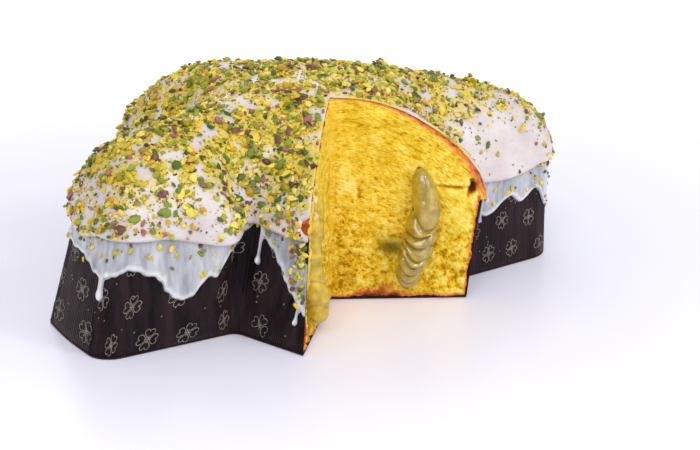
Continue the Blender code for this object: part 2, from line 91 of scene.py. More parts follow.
def mould_outline(corners):
    """Points round the mould, with arcs at its corners, and each point's share of its side's bow."""
    arcs = []
    for number, corner in enumerate(corners):
        here = np.array(corner[:2])
        back = np.array(corners[number - 1][:2]) - here
        ahead = np.array(corners[(number + 1) % len(corners)][:2]) - here
        back /= np.linalg.norm(back)
        ahead /= np.linalg.norm(ahead)
        half = math.acos(float(back @ ahead)) / 2
        centre = here + (back + ahead) / np.linalg.norm(back + ahead) * corner[2] / math.sin(half)
        start = here + back * corner[2] / math.tan(half) - centre
        end = here + ahead * corner[2] / math.tan(half) - centre
        first = math.atan2(start[1], start[0])
        turn = (math.atan2(end[1], end[0]) - first + math.pi) % (2 * math.pi) - math.pi
        angles = first + turn * np.linspace(0, 1, ARC_POINTS)
        arcs.append(centre + corner[2] * np.column_stack((np.cos(angles), np.sin(angles))))
    points, bows = [], []
    for number, corner in enumerate(corners):
        start, end = arcs[number][-1], arcs[(number + 1) % len(corners)][0]
        along = end - start
        outward = np.array((along[1], -along[0])) / np.linalg.norm(along)
        count = corner[5] * SIDE_FINENESS
        share = np.arange(1, count + 1) / (count + 1)
        bow = np.sin(math.pi * share ** corner[4])
        points += [arcs[number], start + along * share[:, None] + outward * corner[3] * bow[:, None]]
        bows += [np.zeros(ARC_POINTS), bow]
    return np.concatenate(points) - MIDDLE, np.concatenate(bows)


def moved_in(outline, distance):
    """The outline moved inwards by a distance, or outwards where it is negative."""
    ahead = np.roll(outline, -1, axis=0) - outline
    ahead /= np.linalg.norm(ahead, axis=1)[:, None]
    inward = ahead + np.roll(ahead, 1, axis=0)
    inward = np.column_stack((-inward[:, 1], inward[:, 0]))
    inward /= np.linalg.norm(inward, axis=1)[:, None]
    side = np.column_stack((-ahead[:, 1], ahead[:, 0]))
    return outline + inward * (distance / np.sum(inward * side, axis=1))[:, None]


FOOT, _ = mould_outline(MOULD_FOOT)
RIM, RIM_BOW = mould_outline(MOULD_RIM)
COUNT = len(RIM)
RIM_Z = RIM_HEIGHT - RIM_DIP * RIM_BOW


def new_piece(name, points, faces, smooth=True):
    """A mesh object from its points and faces, with its place in its mesh."""
    mesh = bpy.data.meshes.new(name)
    mesh.from_pydata([tuple(p) for p in points], [], [tuple(f) for f in faces])
    mesh.validate()
    mesh.shade_smooth() if smooth else mesh.shade_flat()
    piece = bpy.data.objects.new(name, mesh)
    bpy.context.scene.collection.objects.link(piece)
    return piece


def only(piece):
    """Select one piece alone and make it the active one."""
    bpy.ops.object.select_all(action="DESELECT")
    piece.select_set(True)
    bpy.context.view_layer.objects.active = piece


def wedge_block():
    """An upright prism where the slice was cut away."""
    ways = (LEFT_CUT, (LEFT_CUT + BACK_CUT) / 2, BACK_CUT)
    plan = [CUT_POINT] + [CUT_POINT + 0.2 * np.array((math.cos(a), math.sin(a))) for a in ways]
    points = [(*p, z) for z in (-0.02, 0.15) for p in plan]
    faces = [(3, 2, 1, 0), (4, 5, 6, 7)] + [(i, (i + 1) % 4, (i + 1) % 4 + 4, i + 4) for i in range(4)]
    return new_piece("wedge_block", points, faces)


def turn_outward(piece):
    """Turn all faces of a closed piece outwards."""
    only(piece)
    bpy.ops.object.mode_set(mode="EDIT")
    bpy.ops.mesh.select_all(action="SELECT")
    bpy.ops.mesh.normals_make_consistent(inside=False)
    bpy.ops.object.mode_set(mode="OBJECT")


def cut_with(piece, block):
    """Cut a block out of a piece and remove the block."""
    only(piece)
    change = piece.modifiers.new("cut", "BOOLEAN")
    change.operation = "DIFFERENCE"
    change.solver = "MANIFOLD"
    change.object = block
    bpy.ops.object.modifier_apply(modifier="cut")
    bpy.data.objects.remove(block, do_unlink=True)
    piece.data.materials.clear()


def new_material(name, finish):
    """A Principled material with its finish set on the shader's own sockets, and its node tree."""
    material = bpy.data.materials.new(name)
    material.use_nodes = True
    for socket, value in finish.items():
        material.node_tree.nodes["Principled BSDF"].inputs[socket].default_value = value
    return material, material.node_tree


def paint(tree, colour):
    """Lead a colour to the shader."""
    tree.links.new(colour, tree.nodes["Principled BSDF"].inputs["Base Color"])


def add_bump(tree, relief, strength, distance):
    """Small relief from a socket."""
    bump = tree.nodes.new("ShaderNodeBump")
    bump.inputs["Strength"].default_value = strength
    bump.inputs["Distance"].default_value = distance
    tree.links.new(relief, bump.inputs["Height"])
    tree.links.new(bump.outputs["Normal"], tree.nodes["Principled BSDF"].inputs["Normal"])


def ramp_node(tree, source, stops):
    """A colour from a ramp driven by a socket, with stops as place and colour."""
    ramp = tree.nodes.new("ShaderNodeValToRGB")
    elements = ramp.color_ramp.elements
    while len(elements) < len(stops):
        elements.new(0.5)
    for element, (place, colour) in zip(elements, stops):
        element.position = place
        element.color = (*colour, 1.0)
    tree.links.new(source, ramp.inputs["Fac"])
    return ramp.outputs["Color"]


def noise_node(tree, scale, detail, roughness, stretch=(1.0, 1.0, 1.0), place=None):
    """Noise on the piece's own coordinates or on a place given, in waves to the metre."""
    if place is None:
        place = tree.nodes.new("ShaderNodeTexCoord").outputs["Object"]
    mapping = tree.nodes.new("ShaderNodeMapping")
    mapping.inputs["Scale"].default_value = stretch
    texture = tree.nodes.new("ShaderNodeTexNoise")
    texture.inputs["Scale"].default_value = scale
    texture.inputs["Detail"].default_value = detail
    texture.inputs["Roughness"].default_value = roughness
    tree.links.new(place, mapping.inputs["Vector"])
    tree.links.new(mapping.outputs["Vector"], texture.inputs["Vector"])
    return texture.outputs["Fac"]


def paper_material(name, dark, light, wave):
    """Dark baking paper: a brown-purple print with uneven ink, satin, with fine ribs pressed in. Where wave
    is small the tone runs in upright streaks, lighter and reddish in places: painted sheen of the ribs.
    """
    material, tree = new_material(name, {
        "Roughness": 0.45, "Specular IOR Level": 0.13,
        "Sheen Weight": 0.17, "Sheen Roughness": 0.35, "Sheen Tint": (1.0, 0.62, 0.58, 1.0)})
    tone_and_sheen = noise_node(tree, 160, 5, 0.6, (1, 1, wave))
    paint(tree, ramp_node(tree, tone_and_sheen, ((0.38, dark), (0.66, light))))
    add_bump(tree, noise_node(tree, 2600, 2, 0.6, (1, 1, 0.25)), 0.25, 0.00015)
    return material


bpy.ops.object.select_all(action="DESELECT")
bpy.ops.mesh.primitive_circle_add(vertices=COUNT, fill_type="NGON", location=(0, 0, 0))
paper_base = bpy.context.active_object
paper_base.name = "paper_base"
for vertex, spot in zip(paper_base.data.vertices, FOOT):
    vertex.co = (*spot, 0.0)
bpy.ops.object.mode_set(mode="EDIT")
bpy.ops.mesh.select_all(action="SELECT")
bpy.ops.mesh.extrude_region_move(TRANSFORM_OT_translate={"value": (0, 0, BOARD)})
bpy.ops.object.mode_set(mode="OBJECT")
turn_outward(paper_base)
cut_with(paper_base, wedge_block())
base_paper = paper_material("base_paper", (0.014, 0.008, 0.010), (0.028, 0.017, 0.019), 1.0)
paper_base.data.materials.append(base_paper)
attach(paper_base, "root")
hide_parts("case_base")


# The wall of the case: one strip of dark baking paper with fine upright ribs, folded round the dove's
# corners and glued at its foot. The dough has pushed it outwards at the top.
GLAZE = 1.8 * MM
CURTAIN = 1.2 * MM
CURTAIN_GAP = 0.7 * MM
PAPER_IN = GLAZE + CURTAIN + CURTAIN_GAP  # from the glazed edge in to the paper
RIB_COUNT = 720
RIB_POINTS = 4
RIB_DEPTH = 0.11 * MM
WALL_LEVELS = (0.02, 0.10, 0.25, 0.42, 0.58, 0.75, 0.90, 1.0)

RIM_PLACE = np.concatenate(([0.0], np.cumsum(np.linalg.norm(np.diff(RIM, axis=0), axis=1))))
RIM_LENGTH = RIM_PLACE[-1] + np.linalg.norm(RIM[0] - RIM[-1])
PAPER_LOW = np.column_stack((FOOT, np.zeros(COUNT)))
PAPER_HIGH = np.column_stack((moved_in(RIM, PAPER_IN), RIM_Z))


def along_ring(ring, places):
    """Points on a closed ring at places along the rim."""
    closed = np.vstack((ring, ring[:1]))
    marks = np.append(RIM_PLACE, RIM_LENGTH)
    return np.column_stack([np.interp(places % RIM_LENGTH, marks, closed[:, axis]) for axis in range(3)])


def on_wall(places, levels, outwards=0.0):
    """Points on the paper's outer face, or off it, at places round the rim and shares of its height."""
    levels = np.broadcast_to(levels, places.shape)
    low, high = along_ring(PAPER_LOW, places), along_ring(PAPER_HIGH, places)
    step = 0.0012
    before = along_ring(PAPER_LOW, places - step) * (1 - levels)[:, None]
    before += along_ring(PAPER_HIGH, places - step) * levels[:, None]
    after = along_ring(PAPER_LOW, places + step) * (1 - levels)[:, None]
    after += along_ring(PAPER_HIGH, places + step) * levels[:, None]
    outward = np.cross(after - before, high - low)
    outward /= np.linalg.norm(outward, axis=1)[:, None]
    spots = low * (1 - levels)[:, None] + high * levels[:, None]
    return spots + outward * np.broadcast_to(outwards, places.shape)[:, None]


def ring_faces(rows, size, closed=False):
    """Quads between rings of equal size, numbered one after another."""
    faces = []
    for row in range(rows if closed else rows - 1):
        low, high = row * size, (row + 1) % rows * size
        faces += [(low + i, low + (i + 1) % size, high + (i + 1) % size, high + i) for i in range(size)]
    return faces


def rib_wave(places):
    """How far the ribs stand out at places round the rim."""
    return RIB_DEPTH * np.cos(2 * math.pi * RIB_COUNT * places / RIM_LENGTH)


rib_places = np.arange(RIB_COUNT * RIB_POINTS) / (RIB_COUNT * RIB_POINTS) * RIM_LENGTH
wall_rows = [on_wall(rib_places, level, rib_wave(rib_places)) for level in WALL_LEVELS]
wall_rows += [on_wall(rib_places, level, rib_wave(rib_places) - PAPER) for level in reversed(WALL_LEVELS)]
paper_wall = new_piece("paper_wall", np.concatenate(wall_rows),
                       ring_faces(len(wall_rows), len(rib_places), closed=True))
cut_with(paper_wall, wedge_block())
# On the wall the tone runs in upright streaks, lighter and reddish in places: painted sheen and reflection of
# the ribs
wall_paper = paper_material("wall_paper", (0.0045, 0.0028, 0.0038), (0.030, 0.016, 0.019), 0.04)
paper_wall.data.materials.append(wall_paper)
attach(paper_wall, "root")
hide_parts("case_wall")


# The print on the wall: four-leaved clovers drawn in thin beige lines and scattered over the paper,
# with small dots between them. Each line is a flat ribbon of ink that follows the ribs.
INK = 0.36 * MM
INK_LIFT = 0.16 * MM
CLOVER_REACH = 5.0 * MM
CLOVER_STEP = (0.0215, 0.0165)
DOT_COUNT = 240
DOT_RADIUS = 0.25 * MM
HEART_POINTS = 22


def heart_line():
    """One leaf as a heart with its point at the clover's middle, for a leaf one unit long."""
    turns = np.linspace(0, 2 * math.pi, HEART_POINTS)
    across = 0.50 * np.sin(turns) ** 3
    up = (13 * np.cos(turns) - 5 * np.cos(2 * turns) - 2 * np.cos(3 * turns) - np.cos(4 * turns)) / 30
    return np.column_stack((across, 0.60 + up))


def clover_lines():
    """The lines of one clover: four leaves and two crossed stems."""
    lines = []
    for quarter in range(4):
        turn = quarter * math.pi / 2
        c, s = math.cos(turn), math.sin(turn)
        leaf = heart_line()
        lines.append(leaf @ np.array(((c, s), (-s, c))))
        stem = np.column_stack((np.linspace(0, 0.02, 4), np.linspace(0, 0.36, 4)))
        lines.append(stem @ np.array(((c, s), (-s, c))))
    return lines


def ink_ribbon(line, points, faces):
    """Add one ribbon of ink along a line given as place round the rim and height."""
    ahead = np.gradient(line, axis=0)
    ahead /= np.linalg.norm(ahead, axis=1)[:, None] + 1e-12
    side = np.column_stack((-ahead[:, 1], ahead[:, 0])) * INK / 2
    start = len(points)
    for edge in (line - side, line + side):
        level = edge[:, 1] / np.interp(edge[:, 0] % RIM_LENGTH, RIM_PLACE, RIM_Z)
        points += list(on_wall(edge[:, 0], level, rib_wave(edge[:, 0]) + INK_LIFT))
    size = len(line)
    faces += [(start + i, start + i + 1, start + size + i + 1, start + size + i) for i in range(size - 1)]


def in_wedge(spots, margin=0.0):
    """Which points lie where the slice is missing, or within a margin of it."""
    away = spots[:, :2] - CUT_POINT
    left = np.array((-math.sin(LEFT_CUT), math.cos(LEFT_CUT)))
    back = np.array((math.sin(BACK_CUT), -math.cos(BACK_CUT)))
    return (away @ left > -margin) & (away @ back > -margin)


draw = random.Random(21)
ink_points, ink_faces = [], []
columns = int(RIM_LENGTH / CLOVER_STEP[0])
for column in range(columns):
    for row in range(3):
        place = (column + 0.5 * (row % 2) + draw.uniform(-0.16, 0.16)) * RIM_LENGTH / columns
        height = 0.008 + row * CLOVER_STEP[1] + draw.uniform(-0.002, 0.002)
        if in_wedge(on_wall(np.array([place]), height / RIM_HEIGHT), 0.009)[0]:
            continue
        turn = draw.uniform(0, math.pi / 2)
        size = CLOVER_REACH * draw.uniform(0.88, 1.06)
        twist = np.array(((math.cos(turn), math.sin(turn)), (-math.sin(turn), math.cos(turn))))
        for line in clover_lines():
            drawn = line * size @ twist + np.array((place, height))
            if drawn[:, 1].min() > 0.0012:
                ink_ribbon(drawn, ink_points, ink_faces)
for _ in range(DOT_COUNT):
    spot = np.array((draw.uniform(0, RIM_LENGTH), draw.uniform(0.003, 0.050)))
    if not in_wedge(on_wall(spot[:1], spot[1] / RIM_HEIGHT), 0.003)[0]:
        turns = np.linspace(0, 2 * math.pi, 7)
        dot = spot + DOT_RADIUS * np.column_stack((np.cos(turns), np.sin(turns)))
        ink_ribbon(dot, ink_points, ink_faces)
clover_print = new_piece("clover_print", ink_points, ink_faces)
print_ink, tree = new_material("print_ink", {"Roughness": 0.5})
wear = noise_node(tree, 900, 3, 0.6)
paint(tree, ramp_node(tree, wear, ((0.35, (0.15, 0.125, 0.100)), (0.7, (0.35, 0.30, 0.25)))))
clover_print.data.materials.append(print_ink)
only(clover_print)
thick = clover_print.modifiers.new("ink", "SOLIDIFY")
thick.thickness = 0.05 * MM
bpy.ops.object.modifier_apply(modifier="ink")
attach(clover_print, "root")


# The loaf itself: a soft yellow dough that fills the case and has risen into a dome. Where the slice
# was cut and pulled away it shows fine pores that run along with the crust, torn crumb lower down,
# and the thin browned crust as a line round the outside.
DOME_TOP = 0.109
DOME_REACH = 0.050
DOME_ROUND = 0.73
DOME_LEAN = np.array((1.1, 1.5))
DENTS = (  # where the dome sank, or rose where the depth is negative: x, y, depth and width
    (-0.040, -0.062, 0.018, 0.036),
    (0.045, -0.050, 0.007, 0.038),
    (0.115, -0.005, 0.014, 0.035),
    (0.030, 0.075, 0.016, 0.035),
    (0.062, 0.045, -0.015, 0.030),
)
ICING = 1.0 * MM
BREAD_EDGE = ICING + 0.15 * MM
SAMPLES_PER_SIDE = 3
SLOPE_STEP = 0.0003
BREAD_SHOULDER = (0.0006, 0.0015, 0.003, 0.0045)
BREAD_STEP = 0.0045
FACE_STEP = 0.46 * MM
FACE_LENGTH = 0.092
FACE_HEIGHT = 0.110

shares = (np.arange(SAMPLES_PER_SIDE) + 0.5) / SAMPLES_PER_SIDE
RIM_AHEAD = np.roll(RIM, -1, axis=0)
SAMPLES = np.concatenate([RIM * (1 - s) + RIM_AHEAD * s for s in shares])
SAMPLE_LENGTHS = np.tile(np.linalg.norm(RIM_AHEAD - RIM, axis=1) / SAMPLES_PER_SIDE, SAMPLES_PER_SIDE)
SAMPLE_HEIGHTS = np.concatenate([RIM_Z * (1 - s) + np.roll(RIM_Z, -1) * s for s in shares])
LIP = 2.0 * MM


def dome_height(flat):
    """Height of the glazed dome over points inside the rim, from their smooth distance to it."""
    heights = []
    for part in np.array_split(flat, max(len(flat) // 1500, 1)):
        apart = (part[:, None, 0] - SAMPLES[None, :, 0]) ** 2
        apart += (part[:, None, 1] - SAMPLES[None, :, 1]) ** 2
        weight = SAMPLE_LENGTHS / np.maximum(apart, SLOPE_STEP ** 2) ** 1.5
        total = weight.sum(axis=1)
        low = weight @ SAMPLE_HEIGHTS / total + LIP
        share = np.clip(np.sqrt(2 / total) / DOME_REACH, 0.0, 1.0)
        rise = (1 - (1 - share) ** 2) ** DOME_ROUND
        spot = part + MIDDLE
        height = low + (DOME_TOP - low) * rise * (1 + spot @ DOME_LEAN)
        for x, y, depth, width in DENTS:
            height -= depth * rise * np.exp(-((spot[:, 0] - x) ** 2 + (spot[:, 1] - y) ** 2) / width ** 2)
        heights.append(height)
    return np.concatenate(heights)


def dome_points(flat, inset=0.0):
    """Points of the dome over a plan, moved in along its normals by a thickness."""
    x_step, y_step = np.array((SLOPE_STEP, 0.0)), np.array((0.0, SLOPE_STEP))
    slope_x = (dome_height(flat + x_step) - dome_height(flat - x_step)) / (2 * SLOPE_STEP)
    slope_y = (dome_height(flat + y_step) - dome_height(flat - y_step)) / (2 * SLOPE_STEP)
    outward = np.column_stack((-slope_x, -slope_y, np.ones(len(flat))))
    outward /= np.linalg.norm(outward, axis=1)[:, None]
    return np.column_stack((flat, dome_height(flat))) - outward * inset


def inside_outline(spots, outline):
    """Which points lie inside a closed outline."""
    inside = np.zeros(len(spots), bool)
    for a, b in zip(outline, np.roll(outline, -1, axis=0)):
        crosses = (a[1] > spots[:, 1]) != (b[1] > spots[:, 1])
        if crosses.any():
            x = a[0] + (spots[:, 1] - a[1]) * (b[0] - a[0]) / (b[1] - a[1])
            inside ^= crosses & (spots[:, 0] < x)
    return inside


def cap_plan(distance, step):
    """Even points inside the rim's outline moved in by a distance, and triangles over them and it."""
    edge = moved_in(RIM, distance)
    low, high = edge.min(axis=0), edge.max(axis=0)
    rows = np.arange(low[1], high[1], step * math.sqrt(3) / 2)
    columns = np.arange(low[0], high[0], step)
    spots = np.array([(x + step / 2 * (k % 2), y) for k, y in enumerate(rows) for x in columns])
    spots = spots[inside_outline(spots, moved_in(edge, step * 0.5))]
    flat = [Vector(spot) for spot in np.concatenate((edge, spots))]
    border = [(i, (i + 1) % COUNT) for i in range(COUNT)]
    return spots, [tuple(face) for face in delaunay_2d_cdt(flat, border, [], 1, 1e-7)[2]]


def face_way(bearing, side):
    """The directions along a cut and out of the loaf from it."""
    along = np.array((math.cos(bearing), math.sin(bearing)))
    return along, side * np.array((along[1], -along[0]))


def pores(along, across, seed, length, height):
    """Depth of one family of pores, 0 to 1: each a long cell of its own size."""
    distances, cells = noise.voronoi(Vector((along / length, across / height, seed)))
    size = 0.75 * abs(noise.cell(cells[0] * 7.3)) + 0.01
    return max(0.0, 1 - distances[0] / size)


BACK_MARKS = (  # torn hollows: place and height on the cut, half length, half height, slant, depth
    (0.0285, 0.0265, 0.0060, 0.0034, -0.55, 0.0034),
    (0.0140, 0.0560, 0.0013, 0.0052, 0.10, 0.0008),
    (0.0684, 0.0548, 0.0016, 0.0020, 0.90, 0.0048),
    (0.0700, 0.0582, 0.0018, 0.0026, -0.60, 0.0056),
    (0.0610, 0.0568, 0.0085, 0.0010, -0.10, 0.0017),
    (0.0620, 0.0450, 0.0075, 0.0080, -0.60, -0.0011),
    (0.0078, 0.0620, 0.0045, 0.0075, 0.00, -0.0008),
    (0.0230, 0.0060, 0.0090, 0.0040, 0.00, 0.0016),
)
LEFT_MARKS = (
    (0.0560, 0.0180, 0.0060, 0.0100, 0.20, 0.0022),
    (0.0250, 0.0300, 0.0090, 0.0040, 0.20, 0.0014),
)
BACK_CREAM = (  # the path of the rope: place on the cut, height, how far it stands out, radius
    (0.0428, 0.0672, 0.0000, 0.0046),
    (0.0440, 0.0620, 0.0012, 0.0056),
    (0.0462, 0.0545, 0.0026, 0.0060),
    (0.0458, 0.0465, 0.0030, 0.0072),
    (0.0447, 0.0391, 0.0030, 0.0076),
    (0.0434, 0.0317, 0.0030, 0.0075),
    (0.0411, 0.0243, 0.0026, 0.0071),
    (0.0389, 0.0183, 0.0020, 0.0062),
    (0.0380, 0.0119, 0.0010, 0.0056),
    (0.0365, 0.0060, 0.0000, 0.0046),
)
LEFT_CREAM = (
    (0.0345, 0.0670, -0.0030, 0.0052),
    (0.0385, 0.0600, -0.0022, 0.0060),
    (0.0430, 0.0500, -0.0015, 0.0062),
    (0.0455, 0.0400, -0.0021, 0.0061),
    (0.0465, 0.0300, -0.0012, 0.0062),
    (0.0470, 0.0200, 0.0008, 0.0066),
    (0.0468, 0.0120, 0.0016, 0.0064),
    (0.0464, 0.0060, 0.0008, 0.0050),
)
CREAM_STEPS = 160
CUTS = (  # bearing, side that the slice lay on, seed of its pores, hollows, rope of cream
    (BACK_CUT, 1, 4.0, BACK_MARKS, BACK_CREAM),
    (LEFT_CUT, -1, 31.0, LEFT_MARKS, LEFT_CREAM),
)
RELIEF_BLUR = 6
BED_SHARE = 0.90  # of the rope's radius, as the cream is pressed into the crumb
BED_TAPER = 0.016  # over this height the bed narrows to the rope's ends
CRUST_LAYER = 0.75 * MM


def smooth_path(points):
    """Evenly shared points on a smooth curve through a few, with their radii."""
    ends = np.vstack((2 * np.array(points[0]) - points[1], points, 2 * np.array(points[-1]) - points[-2]))
    shares = np.linspace(0, len(points) - 1, CREAM_STEPS)
    number = np.minimum(shares.astype(int), len(points) - 2)
    u = (shares - number)[:, None]
    a, b, c, d = (ends[number + k] for k in range(4))
    square = (2 * a - 5 * b + 4 * c - d) * u ** 2
    cube = (3 * b - a - 3 * c + d) * u ** 3
    return 0.5 * (2 * b + (c - a) * u + square + cube)


def grain_ways(t, z):
    """How far a place on the cut lies along the grain of the crumb and across it."""
    return np.arctan2(t, z + 0.010) * 0.080, np.hypot(t, z + 0.010)


def crumb_depth(t, z, seed, marks):
    """How far the crumb lies behind the plane of the cut at a place on it."""
    along, across = grain_ways(t, z)
    torn = min(max((0.058 - z) / 0.030, 0.0), 1.0)
    across += 0.0012 * noise.noise(Vector((t * 70, z * 70, seed)))
    depth = 0.55 * MM * pores(along, across, seed, 0.0070, 0.0022)
    depth += 0.52 * MM * pores(along, across, seed + 5, 0.0024, 0.0010) ** 0.8
    depth += 0.30 * MM * noise.noise(Vector((along * 480, across * 1500, seed)))
    depth += (0.40 + 1.05 * torn) * MM * noise.fractal(Vector((t * 95, z * 125, seed)), 0.8, 2.1, 4)
    depth += (0.12 + 0.46 * torn) * MM * noise.noise(Vector((t * 390, z * 450, seed)))
    for middle, height, wide, tall, slant, deep in marks:
        rise = z - height - slant * (t - middle)
        depth += deep * math.exp(-((t - middle) / wide) ** 2 - (rise / tall) ** 2)
    return max(depth, -1.2 * MM) * min(t / 0.003, 1.0)


FACE_COUNT = int(FACE_LENGTH / FACE_STEP) + 1
FACE_HEIGHTS = np.linspace(-0.002, FACE_HEIGHT, int(FACE_HEIGHT / FACE_STEP))
FACE_PLACES = np.arange(FACE_COUNT) * FACE_STEP


def relief_of(seed, marks, cream):
    """The crumb's depth all over one cut, with the bed that its rope of cream left."""
    depths = np.array([[crumb_depth(t, z, seed, marks) for t in FACE_PLACES] for z in FACE_HEIGHTS])
    path = smooth_path(cream)
    for t, z, stand, radius in path[::3]:
        from_end = min(abs(z - path[0, 1]), abs(z - path[-1, 1]))
        radius *= BED_SHARE * math.sqrt(1 - max(0, 1 - from_end / BED_TAPER) ** 2)
        reach = np.hypot(FACE_PLACES[None, :] - t, FACE_HEIGHTS[:, None] - z)
        bed = np.sqrt(np.maximum(radius ** 2 - reach ** 2, 0)) - stand
        depths = np.where(reach < radius, np.maximum(depths, bed), depths)
    return depths


RELIEFS = [relief_of(seed, marks, cream) for _, _, seed, marks, cream in CUTS]


def crumb_block():
    """The missing slice with the crumb's relief on its two faces."""
    steps = [(k, 0) for k in range(FACE_COUNT - 1, 0, -1)] + [(k, 1) for k in range(FACE_COUNT)]
    middle = (LEFT_CUT + BACK_CUT) / 2
    far_corner = CUT_POINT + 0.2 * np.array((math.cos(middle), math.sin(middle)))
    points = []
    for row, z in enumerate(FACE_HEIGHTS):
        for k, number in steps:
            along, out = face_way(*CUTS[number][:2])
            points.append((*(CUT_POINT + along * FACE_PLACES[k] - out * RELIEFS[number][row, k]), z))
        points.append((*far_corner, z))
    size = len(steps) + 1
    top = (len(FACE_HEIGHTS) - 1) * size
    faces = ring_faces(len(FACE_HEIGHTS), size)
    faces += [tuple(range(size - 1, -1, -1)), tuple(range(top, top + size))]
    return new_piece("crumb_block", points, faces)


BREAD_IN = PAPER + GAP
bread_low = moved_in(FOOT, BREAD_IN)
bread_high = moved_in(RIM, PAPER_IN + BREAD_IN)
bread_rings = [
    np.column_stack((bread_low, np.full(COUNT, BOARD + GAP))),
    np.column_stack((bread_high, RIM_Z + 2 * GAP)),
    np.column_stack((moved_in(RIM, BREAD_EDGE), RIM_Z + 2 * GAP)),
]
bread_rings += [dome_points(moved_in(RIM, step), BREAD_EDGE) for step in BREAD_SHOULDER]
bread_spots, bread_faces = cap_plan(BREAD_SHOULDER[-1], BREAD_STEP)
bread_points = np.concatenate(bread_rings + [dome_points(bread_spots, BREAD_EDGE)])
last_ring = (len(bread_rings) - 1) * COUNT
faces = ring_faces(len(bread_rings), COUNT) + [tuple(range(COUNT - 1, -1, -1))]
faces += [tuple(i + last_ring for i in face) for face in bread_faces]
bread = new_piece("bread_crumb", bread_points, faces)
baked_skin = BVHTree.FromPolygons([tuple(p) for p in bread_points], faces)
cut_with(bread, crumb_block())


def cut_outline(bearing):
    """The loaf's outline on a cut: place, height, and whether it is the dome, the side or the foot."""
    along, _ = face_way(bearing, 1)
    reach = np.linspace(0, FACE_LENGTH, 300)
    flat = CUT_POINT + reach[:, None] * along
    dome = dome_points(flat[inside_outline(flat, moved_in(RIM, BREAD_EDGE))], BREAD_EDGE)
    line = [((p[:2] - CUT_POINT) @ along, p[2], 0) for p in dome]
    for level in np.linspace(1.0, 0.03, 40):
        ring = bread_low * (1 - level) + bread_high * level
        line.append((reach[inside_outline(flat, ring)].max(), level * 0.052, 1))
    line += [(t, BOARD + GAP, 2) for t in np.arange(0, line[-1][0], 0.001)]
    return np.array(line)


def blurred(grid):
    """A grid averaged with its neighbours."""
    for axis in (0, 1):
        margins = [(RELIEF_BLUR, RELIEF_BLUR) if axis == side else (0, 0) for side in (0, 1)]
        padded = np.pad(grid, margins, mode="edge")
        grid = sum(np.roll(padded, shift, axis) for shift in range(-RELIEF_BLUR, RELIEF_BLUR + 1))
        grid = np.take(grid, range(RELIEF_BLUR, grid.shape[axis] - RELIEF_BLUR), axis) / (2 * RELIEF_BLUR + 1)
    return grid


def round_spot(place, middle, half):
    """A soft round spot on a cut, 1 in its middle."""
    return np.exp(-np.sum(((place - middle) / half) ** 2, axis=1))


